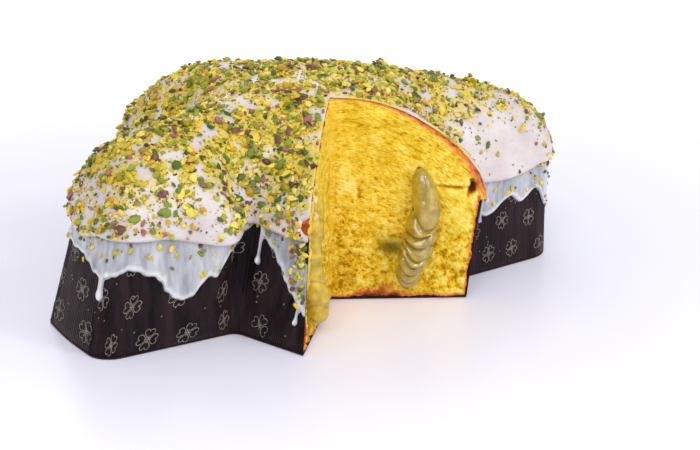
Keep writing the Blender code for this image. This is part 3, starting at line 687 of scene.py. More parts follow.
def bread_values(piece):
    """For each vertex, the values that the crumb's material reads. The crust is torn into layers too."""
    spots = np.array([v.co for v in piece.data.vertices])
    names = ("through_crust", "crust_along", "hollow", "cream_smear_and_shade", "scorch_and_shade", "grain_along", "grain_across")
    values = {name: np.zeros(len(spots)) for name in names}
    on_skin = [baked_skin.find_nearest(v.co, 0.1 * MM)[0] is not None for v in piece.data.vertices]
    for relief, (bearing, side, seed, _, _) in zip(RELIEFS, CUTS):
        along, out = face_way(bearing, side)
        away = spots[:, :2] - CUT_POINT
        t, deep = away @ along, -(away @ out)
        face = np.nonzero((deep > -0.002) & (deep < 0.0095) & (t > -0.001))[0]
        place = np.column_stack((t[face], spots[face, 2]))
        outline = cut_outline(bearing)
        gap = []
        for kind in range(3):
            apart = np.linalg.norm(place[:, None] - outline[None, outline[:, 2] == kind, :2], axis=2)
            gap.append(apart.min(axis=1))
        ragged = np.array([noise.fractal(Vector((*p, seed * MM)) * 260, 1.0, 2.0, 3) for p in place])
        dome_crust, side_crust, foot_crust = (np.full(len(face), size) for size in (0.9, 1.6, 2.4))
        if side > 0:
            dome_crust = 1.0 + 5.4 * np.clip(place[:, 0] / 0.075, 0, 1.1) ** 1.9
            foot_crust = 2.2 + 4.2 * np.exp(-((place[:, 0] - 0.024) / 0.012) ** 2)
        crust = np.stack((dome_crust, side_crust, foot_crust)) * MM * (1 + 0.6 * ragged)
        through = (np.stack(gap) / crust).min(axis=0)
        values["through_crust"][face] = np.maximum(values["through_crust"][face], through)
        nearest = np.argmin(np.linalg.norm(place[:, None] - outline[None, :, :2], axis=2), axis=1)
        steps = np.linalg.norm(np.diff(outline[:, :2], axis=0), axis=1)
        crust_along = np.concatenate(([0.0], np.cumsum(steps)))[nearest]
        values["crust_along"][face] = crust_along
        for index in np.nonzero((through < 1.1) & (deep[face] < 0.004))[0]:
            in_layers = Vector((crust_along[index] * 260, through[index] * 3.4, seed))
            layer = noise.fractal(in_layers, 0.7, 2.0, 3)
            stand = CRUST_LAYER * (layer + 0.15) * (1.1 - through[index])
            piece.data.vertices[face[index]].co += Vector((*out, 0)) * stand
        column = np.clip(np.rint(place[:, 0] / FACE_STEP).astype(int), 0, FACE_COUNT - 1)
        row = np.clip(np.searchsorted(FACE_HEIGHTS, place[:, 1] - FACE_STEP / 2), 0, len(FACE_HEIGHTS) - 1)
        # hollow: how far the crumb lies below its smoothed relief; the material paints the crumb darker
        # there, as painted shade in the pores
        values["hollow"][face] = ((relief - blurred(relief))[row, column] + 0.45 * MM) / (1.3 * MM)
        values["grain_along"][face], values["grain_across"][face] = grain_ways(place[:, 0], place[:, 1])
        # A dark olive spot beside each rope: cream smeared on the crumb; on the back cut it is also painted
        # shadow beside the rope
        cream_smear_and_shade = ((0.0310, 0.0268), (0.0075, 0.0050)) if side > 0 else ((0.0550, 0.0120), (0.0040, 0.0100))
        values["cream_smear_and_shade"][face] = np.maximum(values["cream_smear_and_shade"][face], round_spot(place, *cream_smear_and_shade))
        if side > 0:
            # Less of that painted pore shade on two raised spots, so the crumb is painted lighter there
            values["hollow"][face] -= 0.42 * round_spot(place, (0.0640, 0.0440), (0.0070, 0.0110))
            values["hollow"][face] -= 0.35 * round_spot(place, (0.0078, 0.0620), (0.0045, 0.0080))
            # Darker red-brown in the hole in the crust near the top of the back cut and at its foot: browned
            # crust, with painted shade in these hollows
            hole = round_spot(place, (0.0692, 0.0565), (0.0027, 0.0040)) + 0.45 * ragged
            values["scorch_and_shade"][face] = np.clip(hole * 2.6 - 1.1, 0, 1)
            foot = round_spot(place, (0.0240, 0.0010), (0.0130, 0.0060)) + 0.35 * ragged
            values["scorch_and_shade"][face] += 0.8 * np.clip(foot * 2.2 - 1.1, 0, 1)
    values["through_crust"][on_skin] = 0
    return values


def store(piece, name, values):
    """Keep one number for each vertex under a name that the material reads."""
    layer = piece.data.attributes.new(name, "FLOAT", "POINT")
    layer.data.foreach_set("value", np.asarray(values, np.float32))


def attribute_node(tree, name):
    """The socket that reads a number kept on the mesh."""
    node = tree.nodes.new("ShaderNodeAttribute")
    node.attribute_name = name
    return node.outputs["Fac"]


def attribute_pair(tree, first, second):
    """Two numbers kept on the mesh, as a place for a texture."""
    pair = tree.nodes.new("ShaderNodeCombineXYZ")
    for slot, name in enumerate((first, second)):
        tree.links.new(attribute_node(tree, name), pair.inputs[slot])
    return pair.outputs[0]


def feed(tree, socket, value):
    """Set a socket to a number or a colour, or link another socket to it."""
    if isinstance(value, tuple):
        socket.default_value = (*value, 1.0)
    elif isinstance(value, (int, float)):
        socket.default_value = value
    else:
        tree.links.new(value, socket)


def math_node(tree, operation, *values):
    """One step of arithmetic on sockets and numbers."""
    node = tree.nodes.new("ShaderNodeMath")
    node.operation = operation
    for slot, value in enumerate(values):
        feed(tree, node.inputs[slot], value)
    return node.outputs[0]


def mix_colour(tree, factor, first, second, blend="MIX"):
    """Mix two colours by a socket."""
    node = tree.nodes.new("ShaderNodeMix")
    node.data_type = "RGBA"
    node.blend_type = blend
    for slot, value in ((0, factor), (6, first), (7, second)):
        feed(tree, node.inputs[slot], value)
    return node.outputs[2]


for name, values in bread_values(bread).items():
    store(bread, name, np.clip(values, 0, 1) if "grain" not in name else values)
bread_crumb, tree = new_material("crumb", {
    "Roughness": 0.85, "Specular IOR Level": 0.12,
    "Subsurface Weight": 0.12, "Subsurface Radius": (1.0, 0.7, 0.25), "Subsurface Scale": 0.0008})
streaks = noise_node(tree, 1.0, 4, 0.6, (480, 1900, 1), attribute_pair(tree, "grain_along", "grain_across"))
fluff = noise_node(tree, 640, 5, 0.78)
clumps = noise_node(tree, 210, 3, 0.6)
height = tree.nodes.new("ShaderNodeSeparateXYZ")
tree.links.new(tree.nodes.new("ShaderNodeTexCoord").outputs["Object"], height.inputs[0])
torn = ramp_node(tree, math_node(tree, "MULTIPLY", height.outputs[2], 10), (
    (0.25, (0.85, 0.85, 0.85)), (0.62, (0.25, 0.25, 0.25))))
texture = mix_colour(tree, torn, streaks, fluff)
# The crumb's colour follows its relief: its own yellow tone, painted darker where pores lie deep and where
# the bump dips, as painted shade
gain = math_node(tree, "ADD", math_node(tree, "MULTIPLY", torn, 0.6), 2.6)
bump_shade = math_node(tree, "MULTIPLY", math_node(tree, "SUBTRACT", texture, 0.5), gain)
deep = math_node(tree, "SUBTRACT", attribute_node(tree, "hollow"), bump_shade)
# Lower down, the torn crumb's clumps are painted as lighter and darker blotches with no relief under them:
# painted highlight and painted shade
clump_highlight_and_shade = math_node(tree, "MULTIPLY", math_node(tree, "SUBTRACT", clumps, 0.42), 1.9)
deep = math_node(tree, "ADD", deep, math_node(tree, "MULTIPLY", torn, clump_highlight_and_shade))
pore_tone_and_shade = ramp_node(tree, deep, (
    (0.0, (1.0, 0.82, 0.20)), (0.36, (0.97, 0.66, 0.052)),
    (0.68, (0.80, 0.47, 0.013)), (1.0, (0.46, 0.23, 0.004))))
patch = ramp_node(tree, noise_node(tree, 120, 3, 0.6), (
    (0.32, (0.82, 0.76, 0.28)), (0.50, (0.98, 0.965, 0.80)), (0.68, (1.04, 1.10, 1.45))))
dough = mix_colour(tree, 1.0, pore_tone_and_shade, patch, "MULTIPLY")
# The dark olive spot: smeared cream, and beside the back rope painted shadow as well
smeared_and_shaded = mix_colour(tree, attribute_node(tree, "cream_smear_and_shade"), dough, (0.27, 0.22, 0.020))
layers = noise_node(tree, 1.0, 4, 0.6, (330, 5.0, 1), attribute_pair(tree, "crust_along", "through_crust"))
layer_tone = math_node(tree, "MULTIPLY", math_node(tree, "SUBTRACT", layers, 0.45), 1.7)
crust = ramp_node(tree, math_node(tree, "ADD", attribute_node(tree, "through_crust"), layer_tone), (
    (0.0, (0.34, 0.055, 0.014)), (0.16, (0.60, 0.125, 0.026)), (0.38, (0.84, 0.25, 0.060)),
    (0.68, (0.92, 0.38, 0.085)), (0.98, (0.95, 0.50, 0.060))))
inner_tone = math_node(tree, "MULTIPLY", layer_tone, 0.4)
inner_tone = math_node(tree, "ADD", attribute_node(tree, "through_crust"), inner_tone)
inner = ramp_node(tree, inner_tone, ((0.48, (0, 0, 0)), (0.96, (1, 1, 1))))
baked = mix_colour(tree, inner, crust, smeared_and_shaded)
# The hole and the foot: browned crust with painted shade in the hollows
paint(tree, mix_colour(tree, attribute_node(tree, "scorch_and_shade"), baked, (0.22, 0.034, 0.010)))
add_bump(tree, texture, 1.0, 0.0009)
bread.data.materials.append(bread_crumb)
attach(bread, "root")
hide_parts("crumb_loaf")


# The glaze over the dome: white sugar icing poured on and set, a millimetre or two thick and
# slightly uneven, with a rounded lip where it stops at the top of the case.
GLAZE_STEP = 1.7 * MM
GLAZE_FLANK = (0.0002, 0.0006, 0.0011, 0.0018, 0.0027, 0.0038, 0.0052)
LIP_PROFILE = (  # how far in from the rim and how far above it
    (0.0019, -0.0004), (0.0011, -0.0009), (0.0003, -0.0004), (-0.0003, 0.0006), (-0.0002, 0.0015),
)
INNER_FLANK = (0.001, 0.004)
INNER_STEP = 0.006
BROKEN_EDGES = (  # where the icing broke as the slice came away: place and bearing of the cut, height, radii
    (0.0582, LEFT_CUT, 0.0585, (0.0040, 0.0075, 0.0064)),
    (0.0785, BACK_CUT, 0.0560, (0.0050, 0.0032, 0.0062)),
    (0.0560, BACK_CUT, 0.0805, (0.0035, 0.0012, 0.0016)),
)
NOISE_SEED = 4  # noise_vector is shifted by this seed
GATHERED_CHIPS = (0.010, 0.069, 0.085, 0.110, 0.118)  # places on the rim where nuts gathered
HEAP_RADIUS = 0.0065
THICK_SPOT = (-0.036, -0.052, 0.015, 0.024, 0.55)  # x, y, half width in x and in y, strength
BARE_SPOTS = ((0.106, -0.038, 0.040, 0.024, 1.0), (-0.092, -0.050, 0.022, 0.0065, 0.8))
BREAK_MARGIN = 0.6 * MM


def soft_spot(plan, x, y, wide, deep, strength):
    """A soft oval spot over a plan."""
    return strength * np.exp(-((plan[:, 0] - x) / wide) ** 2 - ((plan[:, 1] - y) / deep) ** 2)


def nut_cover(spots):
    """How thickly the nuts lie, 0 to 1: in drifts on top, thinner towards the rim."""
    drift = np.array([noise.noise(Vector((p[0] * 38, p[1] * 38, 3.0))) for p in spots])
    patch = np.array([noise.noise(Vector((p[0] * 135, p[1] * 135, p[2] * 135))) for p in spots])
    cover = np.clip(0.72 + 0.30 * drift + 1.25 * patch, 0.10, 1.0)
    cover *= np.clip((spots[:, 2] - 0.040) / 0.034, 0.45, 1.0)
    plan = spots[:, :2] + MIDDLE
    cover += soft_spot(plan, *THICK_SPOT)
    bare = sum(soft_spot(plan, *spot) for spot in BARE_SPOTS)
    gathered = on_wall(np.array(GATHERED_CHIPS), 1.0) + (0, 0, 0.004)
    heap = sum(np.exp(-np.sum((spots - middle) ** 2, axis=1) / HEAP_RADIUS ** 2) for middle in gathered)
    return np.clip(cover * (1 - 0.96 * np.clip(1.25 * bare, 0, 1)) + 0.9 * heap, 0.0, 1.0)


def broken_away(spots):
    """Which points lie where the icing broke off beside a cut."""
    gone = np.zeros(len(spots), bool)
    for t, bearing, height, radii in BROKEN_EDGES:
        along, out = face_way(bearing, 1)
        away = spots - (*(CUT_POINT + t * along), height)
        parts = np.column_stack((away[:, :2] @ along, away[:, :2] @ out, away[:, 2]))
        gone |= np.sum((parts / (np.array(radii) + BREAK_MARGIN)) ** 2, axis=1) < 1
    return gone


def chip_away(piece, t, bearing, height, radii):
    """Break a rounded bit off a piece beside a cut."""
    spot = CUT_POINT + t * face_way(bearing, 1)[0]
    bpy.ops.object.select_all(action="DESELECT")
    bpy.ops.mesh.primitive_ico_sphere_add(subdivisions=4, radius=1, location=(*spot, height))
    bit = bpy.context.active_object
    bit.scale = radii
    bit.rotation_euler = (0, 0, bearing)
    bpy.ops.object.transform_apply(location=True, rotation=True, scale=True)
    for vertex in bit.data.vertices:
        vertex.co += noise.noise_vector(vertex.co * 400) * 0.7 * MM
    cut_with(piece, bit)


def out_by_normals(points, faces, reach):
    """Points moved out along the normals of the skin that they make."""
    skin = new_piece("skin", points, faces)
    normals = np.zeros(len(points) * 3, np.float32)
    skin.data.vertex_normals.foreach_get("vector", normals)
    bpy.data.objects.remove(skin, do_unlink=True)
    return points + normals.reshape(-1, 3) * reach[:, None]


def glaze_swell(points):
    """How much thicker or thinner the icing is at points on it."""
    broad = np.array([noise.noise(Vector(p) * 60) for p in points])
    small = np.array([noise.noise(Vector(p) * 210 + Vector((3, 1, 7))) for p in points])
    return (0.45 * broad + 0.22 * small) * MM


flank_rings = [moved_in(RIM, step) for step in GLAZE_FLANK]
cap_spots, cap_faces = cap_plan(GLAZE_FLANK[-1], GLAZE_STEP)
flat = np.concatenate(flank_rings + [cap_spots])
skin_points = np.column_stack((flat, dome_height(flat)))
start = (len(flank_rings) - 1) * COUNT
skin_faces = ring_faces(len(flank_rings), COUNT) + [tuple(i + start for i in face) for face in cap_faces]
ease = np.ones(len(flat))
for number, step in enumerate(GLAZE_FLANK):
    ease[number * COUNT:(number + 1) * COUNT] = min(step / 0.003, 1.0)
skin_points = out_by_normals(skin_points, skin_faces, glaze_swell(skin_points) * ease)
lip_rings = [np.column_stack((moved_in(RIM, inset), RIM_Z + rise)) for inset, rise in LIP_PROFILE]
inner_rings = [np.column_stack((moved_in(RIM, ICING), RIM_Z + GAP))]
inner_rings += [dome_points(moved_in(RIM, step), ICING) for step in INNER_FLANK]
inner_spots, inner_faces = cap_plan(INNER_FLANK[-1], INNER_STEP)
inner_cap = dome_points(inner_spots, ICING)
lip_start = len(skin_points)
faces = list(skin_faces)
order = [0] + [lip_start + k * COUNT for k in range(len(LIP_PROFILE) - 1, -1, -1)]
order += [lip_start + (len(LIP_PROFILE) + k) * COUNT for k in range(len(inner_rings))]
for low, high in zip(order, order[1:]):
    faces += [(low + i, high + i, high + (i + 1) % COUNT, low + (i + 1) % COUNT) for i in range(COUNT)]
start = lip_start + (len(LIP_PROFILE) + len(inner_rings)) * COUNT
for face in inner_faces:
    faces.append(tuple(i + order[-1] if i < COUNT else i - COUNT + start for i in reversed(face)))
glaze_points = np.concatenate([skin_points] + lip_rings + inner_rings + [inner_cap])
glaze_dome = new_piece("glaze_dome", glaze_points, faces)
cut_with(glaze_dome, wedge_block())
noise.seed_set(NOISE_SEED)
for t, bearing, height, radii in BROKEN_EDGES:
    chip_away(glaze_dome, t, bearing, height, radii)
spots = np.array([v.co for v in glaze_dome.data.vertices])
store(glaze_dome, "dust", nut_cover(spots) * np.clip((spots[:, 2] - 0.058) / 0.022, 0.10, 1.0))

icing, tree = new_material("icing", {
    "Roughness": 0.34, "Coat Weight": 0.25, "Coat Roughness": 0.2,
    "Subsurface Weight": 0.20, "Subsurface Radius": (1.0, 0.9, 0.9), "Subsurface Scale": 0.0015})
cloud = noise_node(tree, 55, 4, 0.6)
white = ramp_node(tree, cloud, ((0.30, (0.65, 0.56, 0.58)), (0.70, (0.79, 0.73, 0.71))))
smudge = noise_node(tree, 75, 4, 0.65)
pink = ramp_node(tree, smudge, ((0.54, (0, 0, 0)), (0.76, (0.45, 0.45, 0.45))))
sugar = mix_colour(tree, pink, white, (0.66, 0.43, 0.41))
dusty = math_node(tree, "MULTIPLY", attribute_node(tree, "dust"), noise_node(tree, 620, 4, 0.7))
dust = ramp_node(tree, dusty, ((0.10, (0, 0, 0)), (0.40, (1, 1, 1))))
paint(tree, mix_colour(tree, dust, sugar, (0.76, 0.57, 0.075)))
add_bump(tree, noise_node(tree, 420, 3, 0.5), 0.35, 0.0006)
glaze_dome.data.materials.append(icing)
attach(glaze_dome, "root")
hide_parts("sugar_glaze")


# The curtain: where the icing ran over the edge it hangs outside the paper in thin sheets with a
# beaded hem, and a few narrow runs end in drops. It is thinner than on the dome; its darker grey-blue tone is
# partly that thinness and partly painted shade.
CURTAIN_STEP = 0.75 * MM
CURTAIN_EDGE = 1.5 * MM
CURTAIN_LIFT = CURTAIN_GAP * 0.6
CURTAIN_TOP = 0.0012  # how far it starts above the rim
CURTAIN_REACH = 0.046
HEM_WRAP = 0.030  # the hem is laid out from this far before the start of the rim
HEM_STOP = 0.038  # and made up until this far before its end
FRONT_HEM = (  # place round the rim and length of the hem below it, from the blunt lobe's near corner
    (-0.0230, 0.0110), (-0.0170, 0.0092), (-0.0120, 0.0092), (-0.0070, 0.0125), (-0.0010, 0.0180),
    (0.0030, 0.0185), (0.0100, 0.0175), (0.0150, 0.0170), (0.0200, 0.0152), (0.0225, 0.0137),
    (0.0275, 0.0148), (0.0370, 0.0178), (0.0405, 0.0200), (0.0440, 0.0243), (0.0490, 0.0272),
    (0.0535, 0.0280), (0.0583, 0.0255), (0.0600, 0.0200), (0.0625, 0.0157), (0.0668, 0.0170),
    (0.0690, 0.0110), (0.0715, 0.0065), (0.0800, 0.0070), (0.0885, 0.0100), (0.0912, 0.0048),
    (0.0940, 0.0014), (0.0965, 0.0022), (0.0985, 0.0060), (0.1050, 0.0100), (0.1105, 0.0152),
    (0.1160, 0.0215), (0.1200, 0.0255), (0.1260, 0.0295), (0.1310, 0.0340),
)
HEM_START = 0.290  # from here the hem isn't seen in the photograph's view, but for the round lobe's
RUNS = (  # narrow runs: place, length, half width, drop at the end
    (0.0062, 0.0285, 0.0022, 0.0026),
    (0.0972, 0.0190, 0.0009, 0.0016),
    (0.1266, 0.0385, 0.0009, 0.0011),
    (0.0100, 0.0180, 0.0014, 0.0018),
    (0.3850, 0.0300, 0.0016, 0.0022),
    (0.4520, 0.0340, 0.0018, 0.0024),
    (0.5410, 0.0290, 0.0015, 0.0021),
    (0.5830, 0.0350, 0.0017, 0.0024),
    (0.6370, 0.0250, 0.0015, 0.0020),
    (0.6940, 0.0330, 0.0018, 0.0024),
    (0.7350, 0.0280, 0.0014, 0.0020),
    (0.8030, 0.0360, 0.0017, 0.0023),
)

draw = random.Random(5)
hem = list(FRONT_HEM) + [(0.150, 0.020), (0.200, 0.020)]
place = HEM_START
while place < RIM_LENGTH - HEM_STOP:
    deep = draw.random() < 0.6
    hem.append((place, draw.uniform(0.014, 0.026) if deep else draw.uniform(0.006, 0.012)))
    place += draw.uniform(0.008, 0.018)
hem.append((RIM_LENGTH - HEM_WRAP, FRONT_HEM[0][1]))
places = np.linspace(-HEM_WRAP, RIM_LENGTH - HEM_WRAP, 4000)
kernel = np.exp(-np.linspace(-2.5, 2.5, 15) ** 2)
marks = np.interp(places, [p for p, _ in hem], range(len(hem)))
eased = np.floor(marks) + (marks % 1) ** 2 * (3 - 2 * (marks % 1))
lengths = np.interp(eased, range(len(hem)), [length for _, length in hem])
lengths = np.convolve(np.pad(lengths, 7, mode="wrap"), kernel / kernel.sum(), mode="valid")
HEM_PLACES, HEM_LENGTHS = places, lengths


def hem_length(places):
    """Length of the curtain at places round the rim."""
    return np.interp((places + HEM_WRAP) % RIM_LENGTH - HEM_WRAP, HEM_PLACES, HEM_LENGTHS)


def smooth_least(a, b, blend):
    """The lesser of two distances, rounded where they meet."""
    share = np.clip(0.5 + 0.5 * (b - a) / blend, 0, 1)
    return b * (1 - share) + a * share - blend * share * (1 - share)


def curtain_distance(places, drops):
    """Distance from the curtain's outline, negative inside it, and how much it swells in a drop."""
    step = 0.0004
    slope = (hem_length(places + step) - hem_length(places - step)) / (2 * step)
    ripple = np.array([noise.noise(Vector((p * 260, 0.5, 2.0))) for p in places]) * 0.5 * MM
    distance = (drops - hem_length(places) - ripple) / np.sqrt(1 + slope ** 2)
    swell = np.zeros(len(places))
    for place, length, half, drop in RUNS:
        across = (places - place + RIM_LENGTH / 2) % RIM_LENGTH - RIM_LENGTH / 2
        below = np.clip(drops, 0, length - drop)
        taper = half * (1.15 - 0.3 * np.clip(drops / length, 0, 1))
        run = np.hypot(across, drops - below) - taper
        bead = np.hypot(across, drops - (length - drop)) - drop
        distance = smooth_least(distance, smooth_least(run, bead, 0.002), 0.0022)
        swell = np.maximum(swell, np.clip(-bead / drop, 0, 1) * 0.8 + np.clip(-run / half, 0, 1) * 0.25)
    return distance, swell


columns = int(RIM_LENGTH / CURTAIN_STEP)
rows = int(CURTAIN_REACH / CURTAIN_STEP)
grid_place, grid_drop = np.meshgrid(np.arange(columns) * RIM_LENGTH / columns,
                                    np.arange(rows) * CURTAIN_STEP - CURTAIN_TOP, indexing="ij")
place, drop = grid_place.ravel(), grid_drop.ravel()
distance, swell = curtain_distance(place, drop)
index = np.arange(columns * rows).reshape(columns, rows)
ahead = np.roll(index, -1, axis=0)
quads = np.stack((index[:, :-1], ahead[:, :-1], ahead[:, 1:], index[:, 1:]), axis=-1).reshape(-1, 4)
quads = quads[(distance < 0)[quads].any(axis=1)]
used = np.unique(quads)
step = 0.0003
for _ in range(2):  # points just outside the outline are drawn back onto it
    outside = used[distance[used] > 0]
    side = curtain_distance(place[outside] + step, drop[outside])[0]
    deeper = curtain_distance(place[outside], drop[outside] + step)[0]
    slope = np.column_stack((side - distance[outside], deeper - distance[outside])) / step
    slope /= np.maximum(np.linalg.norm(slope, axis=1), 0.3)[:, None]
    move = slope * np.minimum(distance[outside], CURTAIN_STEP * 1.3)[:, None]
    place[outside] -= move[:, 0]
    drop[outside] = np.maximum(drop[outside] - move[:, 1], -CURTAIN_TOP)
    distance[outside] = curtain_distance(place[outside], drop[outside])[0]
place, drop, depth = place[used], drop[used], np.clip(-distance[used], 0, None)
round_edge = np.sqrt(1 - (1 - np.clip(depth / CURTAIN_EDGE, 0, 1)) ** 2)
bead = np.exp(-((depth - 1.2 * MM) / (1.1 * MM)) ** 2)
uneven = np.array([noise.noise(Vector((p * 90, d * 40, 1.0))) for p, d in zip(place, drop)])
thick = round_edge * (CURTAIN * (0.50 + 0.50 * bead) + uneven * 0.30 * MM) + swell[used] * 0.9 * MM
thick = np.maximum(thick, 0.12 * MM)
levels = 1 - drop / np.interp(place % RIM_LENGTH, RIM_PLACE, RIM_Z)
front = on_wall(place, levels, CURTAIN_LIFT + thick)
rear = on_wall(place, levels, CURTAIN_LIFT)
lookup = np.zeros(columns * rows, int)
lookup[used] = np.arange(len(used))
quads = lookup[quads]
edges = {(a, b) for quad in quads.tolist() for a, b in zip(quad, quad[1:] + quad[:1])}
size = len(used)
curtain_skin = [tuple(reversed(quad)) for quad in quads.tolist()]
faces = curtain_skin + [tuple(i + size for i in quad) for quad in quads.tolist()]
faces += [(a, b, b + size, a + size) for a, b in sorted(edges) if (b, a) not in edges]
curtain = new_piece("glaze_curtain", np.concatenate((front, rear)), faces)
turn_outward(curtain)
store(curtain, "thickness", np.concatenate((thick, thick)) / (1.6 * MM))
cut_with(curtain, wedge_block())
chip_away(curtain, 0.0605, LEFT_CUT, 0.0470, (0.0050, 0.0040, 0.0090))

thin_icing, tree = new_material("thin_icing", {
    "Roughness": 0.22, "Coat Weight": 0.4, "Coat Roughness": 0.12,
    "Subsurface Weight": 0.15, "Subsurface Radius": (0.8, 0.9, 1.0), "Subsurface Scale": 0.0010})
# The sheets' grey-blue tone, darker where thin: thin icing, and painted bluish shade
streaks = noise_node(tree, 190, 5, 0.62, (1, 1, 0.22))
thin_tone_and_shade = ramp_node(tree, streaks, ((0.32, (0.23, 0.245, 0.30)), (0.66, (0.60, 0.60, 0.635))))
body = ramp_node(tree, attribute_node(tree, "thickness"), ((0.32, (0, 0, 0)), (0.90, (1, 1, 1))))
paint(tree, mix_colour(tree, body, thin_tone_and_shade, (0.85, 0.85, 0.86)))
curtain.data.materials.append(thin_icing)
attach(curtain, "root")
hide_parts("sugar_glaze")


# Chopped pistachios: broken kernels pressed into the wet icing, green and yellow inside, with scraps
# of their purple-brown skin. They lie thick on top, thinner on the flanks, and a few ran down.
CHIP_SHAPES = 40
NUT_SEED = 11
BIG_CHIPS = 6900
SMALL_CHIPS = 12000
CURTAIN_CHIPS = 380
LIP_CHIPS = 440
PILES = (  # where nuts were heaped on the dome: x, y and height
    (0.048, 0.009, 5.0 * MM),
    (0.104, 0.006, 4.5 * MM),
    (-0.054, 0.094, 4.0 * MM),
    (0.012, 0.052, 3.0 * MM),
    (-0.072, -0.004, 3.0 * MM),
)
PILE_CHIPS = 70
PILE_WIDTH = 3.4 * MM
NUT_KINDS = (  # piece, share of the chips, and its colours from dark to light
    ("pistachio_green", 0.26, ((0.036, 0.062, 0.003), (0.130, 0.185, 0.008), (0.29, 0.36, 0.030))),
    ("pistachio_lime", 0.27, ((0.24, 0.215, 0.007), (0.51, 0.45, 0.016), (0.78, 0.70, 0.12))),
    ("pistachio_yellow", 0.34, ((0.43, 0.25, 0.006), (0.82, 0.55, 0.014), (0.93, 0.76, 0.19))),
    ("pistachio_skin", 0.13, ((0.055, 0.018, 0.012), (0.20, 0.075, 0.050), (0.46, 0.15, 0.18))),
)


def chip_shape(draw, corners):
    """One broken kernel: the hull of a few points in a flattened round."""
    mesh = bmesh.new()
    stretch = Vector((1.0, draw.uniform(0.42, 0.88), draw.uniform(0.30, 0.62)))
    for _ in range(corners):
        way = Vector([draw.gauss(0, 1) for _ in range(3)]).normalized()
        reach = 0.5 * draw.uniform(0.80, 1.0)
        mesh.verts.new([a * b * reach for a, b in zip(way, stretch)])
    hull = bmesh.ops.convex_hull(mesh, input=mesh.verts)
    spare = [g for g in hull["geom_interior"] + hull["geom_unused"] if isinstance(g, bmesh.types.BMVert)]
    bmesh.ops.delete(mesh, geom=list(set(spare)), context="VERTS")
    bmesh.ops.recalc_face_normals(mesh, faces=mesh.faces[:])
    mesh.verts.index_update()
    points = np.array([v.co for v in mesh.verts])
    faces = np.array([[v.index for v in f.verts] for f in mesh.faces])
    mesh.free()
    return points, faces


def skin_spots(points, faces, count, cover, picker):
    """Random points on a skin, as dense as its cover says, and the way out of it there."""
    corners = np.array([(f[0], f[k], f[k + 1]) for f in faces for k in range(1, len(f) - 1)])
    triangles = points[corners]
    normals = np.cross(triangles[:, 1] - triangles[:, 0], triangles[:, 2] - triangles[:, 0])
    area = np.linalg.norm(normals, axis=1)
    weight = area * cover[corners].mean(axis=1)
    chosen = picker.choice(len(area), size=count, p=weight / weight.sum())
    a, b = picker.random(count), picker.random(count)
    flip = a + b > 1
    a, b = np.where(flip, 1 - a, a), np.where(flip, 1 - b, b)
    t = triangles[chosen]
    spots = t[:, 0] + (t[:, 1] - t[:, 0]) * a[:, None] + (t[:, 2] - t[:, 0]) * b[:, None]
    return spots, normals[chosen] / area[chosen][:, None]


def scatter(spots, outward, sizes, shapes, draw):
    """Set a chip at each spot, turned at random and tipped a little, in the heap of its kind."""
    names = [name for name, _, _ in NUT_KINDS]
    weights = [share for _, share, _ in NUT_KINDS]
    for spot, out, size in zip(spots, outward, sizes):
        name = draw.choices(names, weights)[0]
        points, faces = draw.choice(shapes)
        tipped = (Vector(out) + Vector([draw.gauss(0, 0.30) for _ in range(3)])).normalized()
        across = tipped.orthogonal().normalized()
        spin = draw.uniform(0, 2 * math.pi)
        first = across * math.cos(spin) + tipped.cross(across) * math.sin(spin)
        axes = np.array((first, tipped.cross(first), tipped)) * size
        lift = draw.uniform(0.02, 0.16) + 0.25 * (draw.random() < 0.12)
        placed = points @ axes + spot + np.array(out) * size * lift
        heap_points, heap_faces, heap_tints = heaps[name]
        heap_faces.append(faces + heap_starts[name])
        heap_starts[name] += len(points)
        heap_points.append(placed)
        heap_tints.append(np.full(len(points), draw.random()))


draw = random.Random(NUT_SEED)
picker = np.random.default_rng(NUT_SEED)
big_shapes = [chip_shape(draw, 22) for _ in range(CHIP_SHAPES)]
small_shapes = [chip_shape(draw, 10) for _ in range(CHIP_SHAPES)]
heaps = {name: ([], [], []) for name, _, _ in NUT_KINDS}
heap_starts = {name: 0 for name, _, _ in NUT_KINDS}
cover = nut_cover(skin_points) * ~in_wedge(skin_points, 0.0008) * ~broken_away(skin_points)
spots, outward = skin_spots(skin_points, skin_faces, BIG_CHIPS, cover, picker)
sizes = [min(max(draw.lognormvariate(-5.79, 0.38), 0.0016), 0.0068) for _ in spots]
scatter(spots, outward, sizes, big_shapes, draw)
spots, outward = skin_spots(skin_points, skin_faces, SMALL_CHIPS, cover, picker)
scatter(spots, outward, [draw.uniform(0.0008, 0.0020) for _ in spots], small_shapes, draw)
away = front[:, :2] - CUT_POINT
from_cut = away @ np.array((-math.sin(LEFT_CUT), math.cos(LEFT_CUT)))
near_cut = np.exp(-(from_cut / 0.007) ** 2) * (away @ face_way(LEFT_CUT, 1)[0] > 0)
cover = (0.10 + np.clip(1 - drop / 0.022, 0, 1) * 0.5 + 6.0 * near_cut) * (depth > 0.0008)
cover *= ~in_wedge(front, 0.0010)
spots, outward = skin_spots(front, curtain_skin, CURTAIN_CHIPS, cover, picker)
scatter(spots, outward, [draw.uniform(0.0014, 0.0042) for _ in spots], big_shapes, draw)
lip_skin = np.concatenate([np.column_stack((RIM, RIM_Z + rise)) for rise in (0.6 * MM, 4.0 * MM)])
clusters = np.array([noise.noise(Vector((p[0] * 90, p[1] * 90, 8.0))) for p in lip_skin])
cover = nut_cover(lip_skin) * np.clip(0.15 + 2.4 * clusters, 0.05, 1.2)
cover *= ~in_wedge(lip_skin, 0.0010) * ~broken_away(lip_skin)
spots, outward = skin_spots(lip_skin, ring_faces(2, COUNT), LIP_CHIPS, cover, picker)
scatter(spots, outward, [draw.uniform(0.0012, 0.0036) for _ in spots], big_shapes, draw)
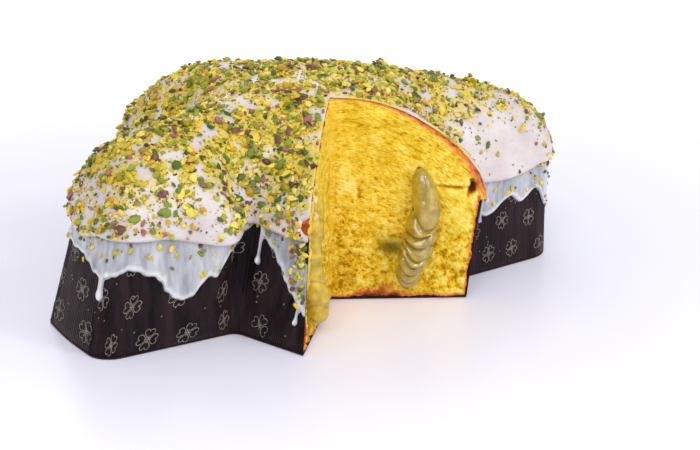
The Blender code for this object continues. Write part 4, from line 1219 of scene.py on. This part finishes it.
for x, y, high in PILES:
    aside = np.array([(draw.gauss(0, 1), draw.gauss(0, 1)) for _ in range(PILE_CHIPS)]) * PILE_WIDTH
    slope = np.exp(-np.sum(aside ** 2, axis=1) / PILE_WIDTH ** 2)
    lift = high * slope * [draw.random() for _ in range(PILE_CHIPS)]
    plan = aside + np.array((x, y)) - MIDDLE
    spots = np.column_stack((plan, dome_height(plan) + lift))
    upward = np.tile((0.0, 0.0, 1.0), (PILE_CHIPS, 1))
    scatter(spots, upward, [draw.uniform(0.0018, 0.0042) for _ in spots], big_shapes, draw)

for name, _, colours in NUT_KINDS:
    heap_points, heap_faces, heap_tints = heaps[name]
    nuts = new_piece(name, np.concatenate(heap_points), np.concatenate(heap_faces).tolist(), smooth=False)
    store(nuts, "tint", np.concatenate(heap_tints))
    flesh, tree = new_material(name, {
        "Roughness": 0.38,
        "Subsurface Weight": 0.12, "Subsurface Radius": (0.7, 0.9, 0.2), "Subsurface Scale": 0.0008})
    worn = math_node(tree, "MULTIPLY", noise_node(tree, 700, 3, 0.6), 0.35)
    own = math_node(tree, "MULTIPLY", attribute_node(tree, "tint"), 0.75)
    mixed = math_node(tree, "ADD", own, worn)
    paint(tree, ramp_node(tree, mixed, tuple(zip((0.12, 0.50, 0.92), colours))))
    add_bump(tree, noise_node(tree, 1900, 3, 0.6), 0.4, 0.0003)
    nuts.data.materials.append(flesh)
    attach(nuts, "root")
    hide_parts("sugar_glaze")


# Two ropes of pistachio cream, piped through the loaf and laid bare by the cuts. The cream folded
# over itself as it was piped, so a rope is a row of glossy tongues, each hanging over the next.
ROPE_SIDES = 56
ROPE_ROWS = 200
BACK_TONGUES = (  # each tongue's lower edge from the rope's top, its slant, its sag, its relief
    (0.0296, 0.0034, 0.0064, 0.38),
    (0.0334, -0.0024, 0.0026, 0.44),
    (0.0390, -0.0012, 0.0028, 0.48),
    (0.0456, 0.0010, 0.0044, 0.50),
    (0.0492, 0.0008, 0.0040, 0.42),
    (0.0540, 0.0010, 0.0034, 0.44),
    (0.0582, -0.0010, 0.0030, 0.40),
    (0.0620, 0.0004, 0.0030, 0.40),
    (0.0700, 0.0000, 0.0024, 0.36),
)
LEFT_TONGUES = (
    (0.0120, 0.0010, 0.0020, 0.09),
    (0.0235, -0.0010, 0.0022, 0.10),
    (0.0330, 0.0010, 0.0024, 0.13),
    (0.0445, -0.0006, 0.0020, 0.08),
    (0.0545, 0.0008, 0.0024, 0.17),
    (0.0700, 0.0000, 0.0020, 0.16),
)
TONGUE_TURN = 0.80  # share of a tongue over which it swells, before it turns under


def tongue_swell(down, aside, tongues):
    """How far a rope swells at a distance down it and a share to its side, where its tongues overlap."""
    edges = np.stack([edge + slant * aside - sag * aside ** 2 for edge, slant, sag, _ in tongues])
    edges = np.maximum.accumulate(np.vstack((np.zeros(len(down))[None], edges)), axis=0)
    number = np.clip((down[None] >= edges).sum(axis=0), 1, len(tongues))
    low = np.take_along_axis(edges, number[None] - 1, 0)[0]
    high = np.take_along_axis(edges, number[None], 0)[0]
    share = np.clip((down - low) / np.maximum(high - low, 0.001), 0, 1)
    turned = np.clip((share - TONGUE_TURN) / (1 - TONGUE_TURN), 0, 1)
    growing = np.sin(share / TONGUE_TURN * math.pi / 2)
    rise = np.where(share < TONGUE_TURN, growing, np.sqrt(1 - turned ** 2))
    return np.array([relief for _, _, _, relief in tongues])[number - 1] * (rise - 0.8)


def cream_rope(name, node, path, bearing, side, tongues, material):
    """Model one rope round its path, closed and rounded at both ends."""
    along, out = face_way(bearing, side)
    path = smooth_path(path)
    centres = np.column_stack((CUT_POINT + path[:, :1] * along + path[:, 2:3] * out, path[:, 1]))
    lengths = np.concatenate(([0.0], np.cumsum(np.linalg.norm(np.diff(centres, axis=0), axis=1))))
    total = lengths[-1]
    ends = np.sin(np.linspace(-math.pi / 2, math.pi / 2, ROPE_ROWS)) * 0.5 + 0.5
    down = total * (0.35 * ends + 0.65 * np.linspace(0, 1, ROPE_ROWS))
    down[[0, -1]] = 0.0002, total - 0.0002
    middles = np.column_stack([np.interp(down, lengths, centres[:, axis]) for axis in range(3)])
    radii = np.interp(down, lengths, path[:, 3])
    for end in (down, total - down):
        radii *= np.sqrt(1 - np.clip(1 - end / 0.0055, 0, 1) ** 2)
    way = np.gradient(middles, axis=0)
    way /= np.linalg.norm(way, axis=1)[:, None]
    outward = np.array((*out, 0)) - way * (way @ np.array((*out, 0)))[:, None]
    outward /= np.linalg.norm(outward, axis=1)[:, None]
    across = np.cross(outward, way)
    across *= np.sign(across @ np.array((*along, 0)))[:, None]
    turn = np.linspace(0, 2 * math.pi, ROPE_SIDES, endpoint=False)
    grid_down, grid_turn = np.meshgrid(down, turn, indexing="ij")
    swell = tongue_swell(grid_down.ravel(), np.cos(grid_turn).ravel(), tongues).reshape(grid_turn.shape)
    reach = radii[:, None] * (1 + swell)
    points = middles[:, None] + across[:, None] * (np.cos(turn) * reach)[..., None]
    points = (points + outward[:, None] * (np.sin(turn) * reach)[..., None]).reshape(-1, 3)
    wrinkles = []
    for point in points:
        broad = noise.noise_vector(Vector(point) * 170) * 0.35
        wrinkles.append(broad + noise.noise_vector(Vector(point) * 430) * 0.17)
    points += np.array(wrinkles) * MM
    last = (ROPE_ROWS - 1) * ROPE_SIDES
    faces = ring_faces(ROPE_ROWS, ROPE_SIDES)
    faces += [tuple(range(ROPE_SIDES - 1, -1, -1)), tuple(range(last, last + ROPE_SIDES))]
    rope = new_piece(name, points, faces)
    turn_outward(rope)
    rope.data.materials.append(material)
    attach(rope, "root")
    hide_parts(node)


def cream_material(name, dark, light, wet):
    """Pistachio cream: smooth and fatty, a little translucent, with a wet shine."""
    material, tree = new_material(name, {
        "Roughness": 0.28, "Coat Weight": wet, "Coat IOR": 1.8, "Coat Roughness": 0.12,
        "Subsurface Weight": 0.15, "Subsurface Radius": (1.0, 0.9, 0.4), "Subsurface Scale": 0.0010})
    paint(tree, ramp_node(tree, noise_node(tree, 240, 3, 0.5), ((0.3, dark), (0.7, light))))
    add_bump(tree, noise_node(tree, 420, 3, 0.5), 0.35, 0.0006)
    return material


back_cream = cream_material("pistachio_cream", (0.29, 0.195, 0.008), (0.54, 0.375, 0.026), 0.85)
left_cream = cream_material("thin_cream", (0.38, 0.26, 0.012), (0.77, 0.53, 0.038), 0.22)
cream_rope("cream_back", "cream_rope_back", BACK_CREAM, BACK_CUT, 1, BACK_TONGUES, back_cream)
cream_rope("cream_left", "cream_rope_left", LEFT_CREAM, LEFT_CUT, -1, LEFT_TONGUES, left_cream)


# The studio: a pale floor that runs on out of sight, soft white light from all round with a key from
# the upper left, and the camera at the photograph's angle. The floor glows with painted light, dimmer and
# lilac near the loaf as painted shade.
FOCAL = 1400.0  # pixels, in a frame of 700 by 450
FRAME_WIDTH, FRAME_HEIGHT = 700, 450
PITCH = math.radians(18)
TURN = math.radians(33)
WEDGE_PIXEL = (331, 299)
WEDGE_DEPTH = 0.696
LOOK_AT = Vector((0, 0, 0.05))

right = Vector((math.cos(TURN), -math.sin(TURN), 0))
level = Vector((math.sin(TURN), math.cos(TURN), 0))
forward = level * math.cos(PITCH) - Vector((0, 0, 1)) * math.sin(PITCH)
up = right.cross(forward)
aside = (WEDGE_PIXEL[0] - FRAME_WIDTH / 2) / FOCAL
above = -(WEDGE_PIXEL[1] - FRAME_HEIGHT / 2) / FOCAL
eye = Vector((*CUT_POINT, 0)) - (forward + right * aside + up * above) * WEDGE_DEPTH
bpy.ops.object.select_all(action="DESELECT")
bpy.ops.object.camera_add(location=eye)
camera = bpy.context.active_object
camera.rotation_mode = "QUATERNION"
camera.rotation_quaternion = forward.to_track_quat("-Z", "Y")
camera.data.sensor_width = 36
camera.data.lens = 36 * FOCAL / FRAME_WIDTH
bpy.context.scene.camera = camera

bpy.ops.mesh.primitive_plane_add(size=12, location=(0, 0, -0.0004))
floor = bpy.context.active_object
floor.name = "floor"
# The floor glows as painted light; its lilac base colour shows where the glow is dim, as painted shade near
# the loaf
white_floor, tree = new_material("white_floor", {
    "Roughness": 0.28, "Base Color": (0.84, 0.83, 0.93, 1),
    "Specular IOR Level": 0.35, "Emission Strength": 0.5})
away = tree.nodes.new("ShaderNodeTexGradient")
away.gradient_type = "SPHERICAL"
spread = tree.nodes.new("ShaderNodeMapping")
spread.inputs["Scale"].default_value = (1.1, 1.1, 1.1)
tree.links.new(tree.nodes.new("ShaderNodeTexCoord").outputs["Object"], spread.inputs["Vector"])
tree.links.new(spread.outputs[0], away.inputs["Vector"])
# Glow bright far from the loaf and dim near it: painted light, and painted shade round the loaf
painted_floor_glow = ramp_node(tree, away.outputs["Fac"], ((0.30, (1, 1, 1)), (0.85, (0.22, 0.21, 0.26))))
tree.links.new(painted_floor_glow, tree.nodes["Principled BSDF"].inputs["Emission Color"])
floor.data.materials.append(white_floor)

world = bpy.data.worlds.new("soft_white")
world.use_nodes = True
world.node_tree.nodes["Background"].inputs["Color"].default_value = (0.97, 0.98, 1.0, 1)
world.node_tree.nodes["Background"].inputs["Strength"].default_value = 0.55
bpy.context.scene.world = world


def soft_light(name, spot, size, power, colour):
    """A square soft box that looks at the loaf."""
    bpy.ops.object.light_add(type="AREA", location=spot)
    light = bpy.context.active_object
    light.name = name
    light.data.size = size
    light.data.energy = power
    light.data.color = colour
    light.rotation_mode = "QUATERNION"
    light.rotation_quaternion = (LOOK_AT - Vector(spot)).to_track_quat("-Z", "Y")


soft_light("key_light", (-0.55, -0.75, 0.95), 0.7, 5.8, (1.0, 0.985, 0.96))
soft_light("front_light", (0.35, -1.1, 0.55), 0.8, 1.8, (1.0, 1.0, 1.0))
soft_light("small_light", (0.33, -0.64, 0.66), 0.22, 1.6, (1.0, 1.0, 1.0))
soft_light("back_light", (0.5, 1.0, 0.9), 0.8, 3, (0.95, 0.97, 1.0))
bpy.context.scene.view_settings.view_transform = "Standard"
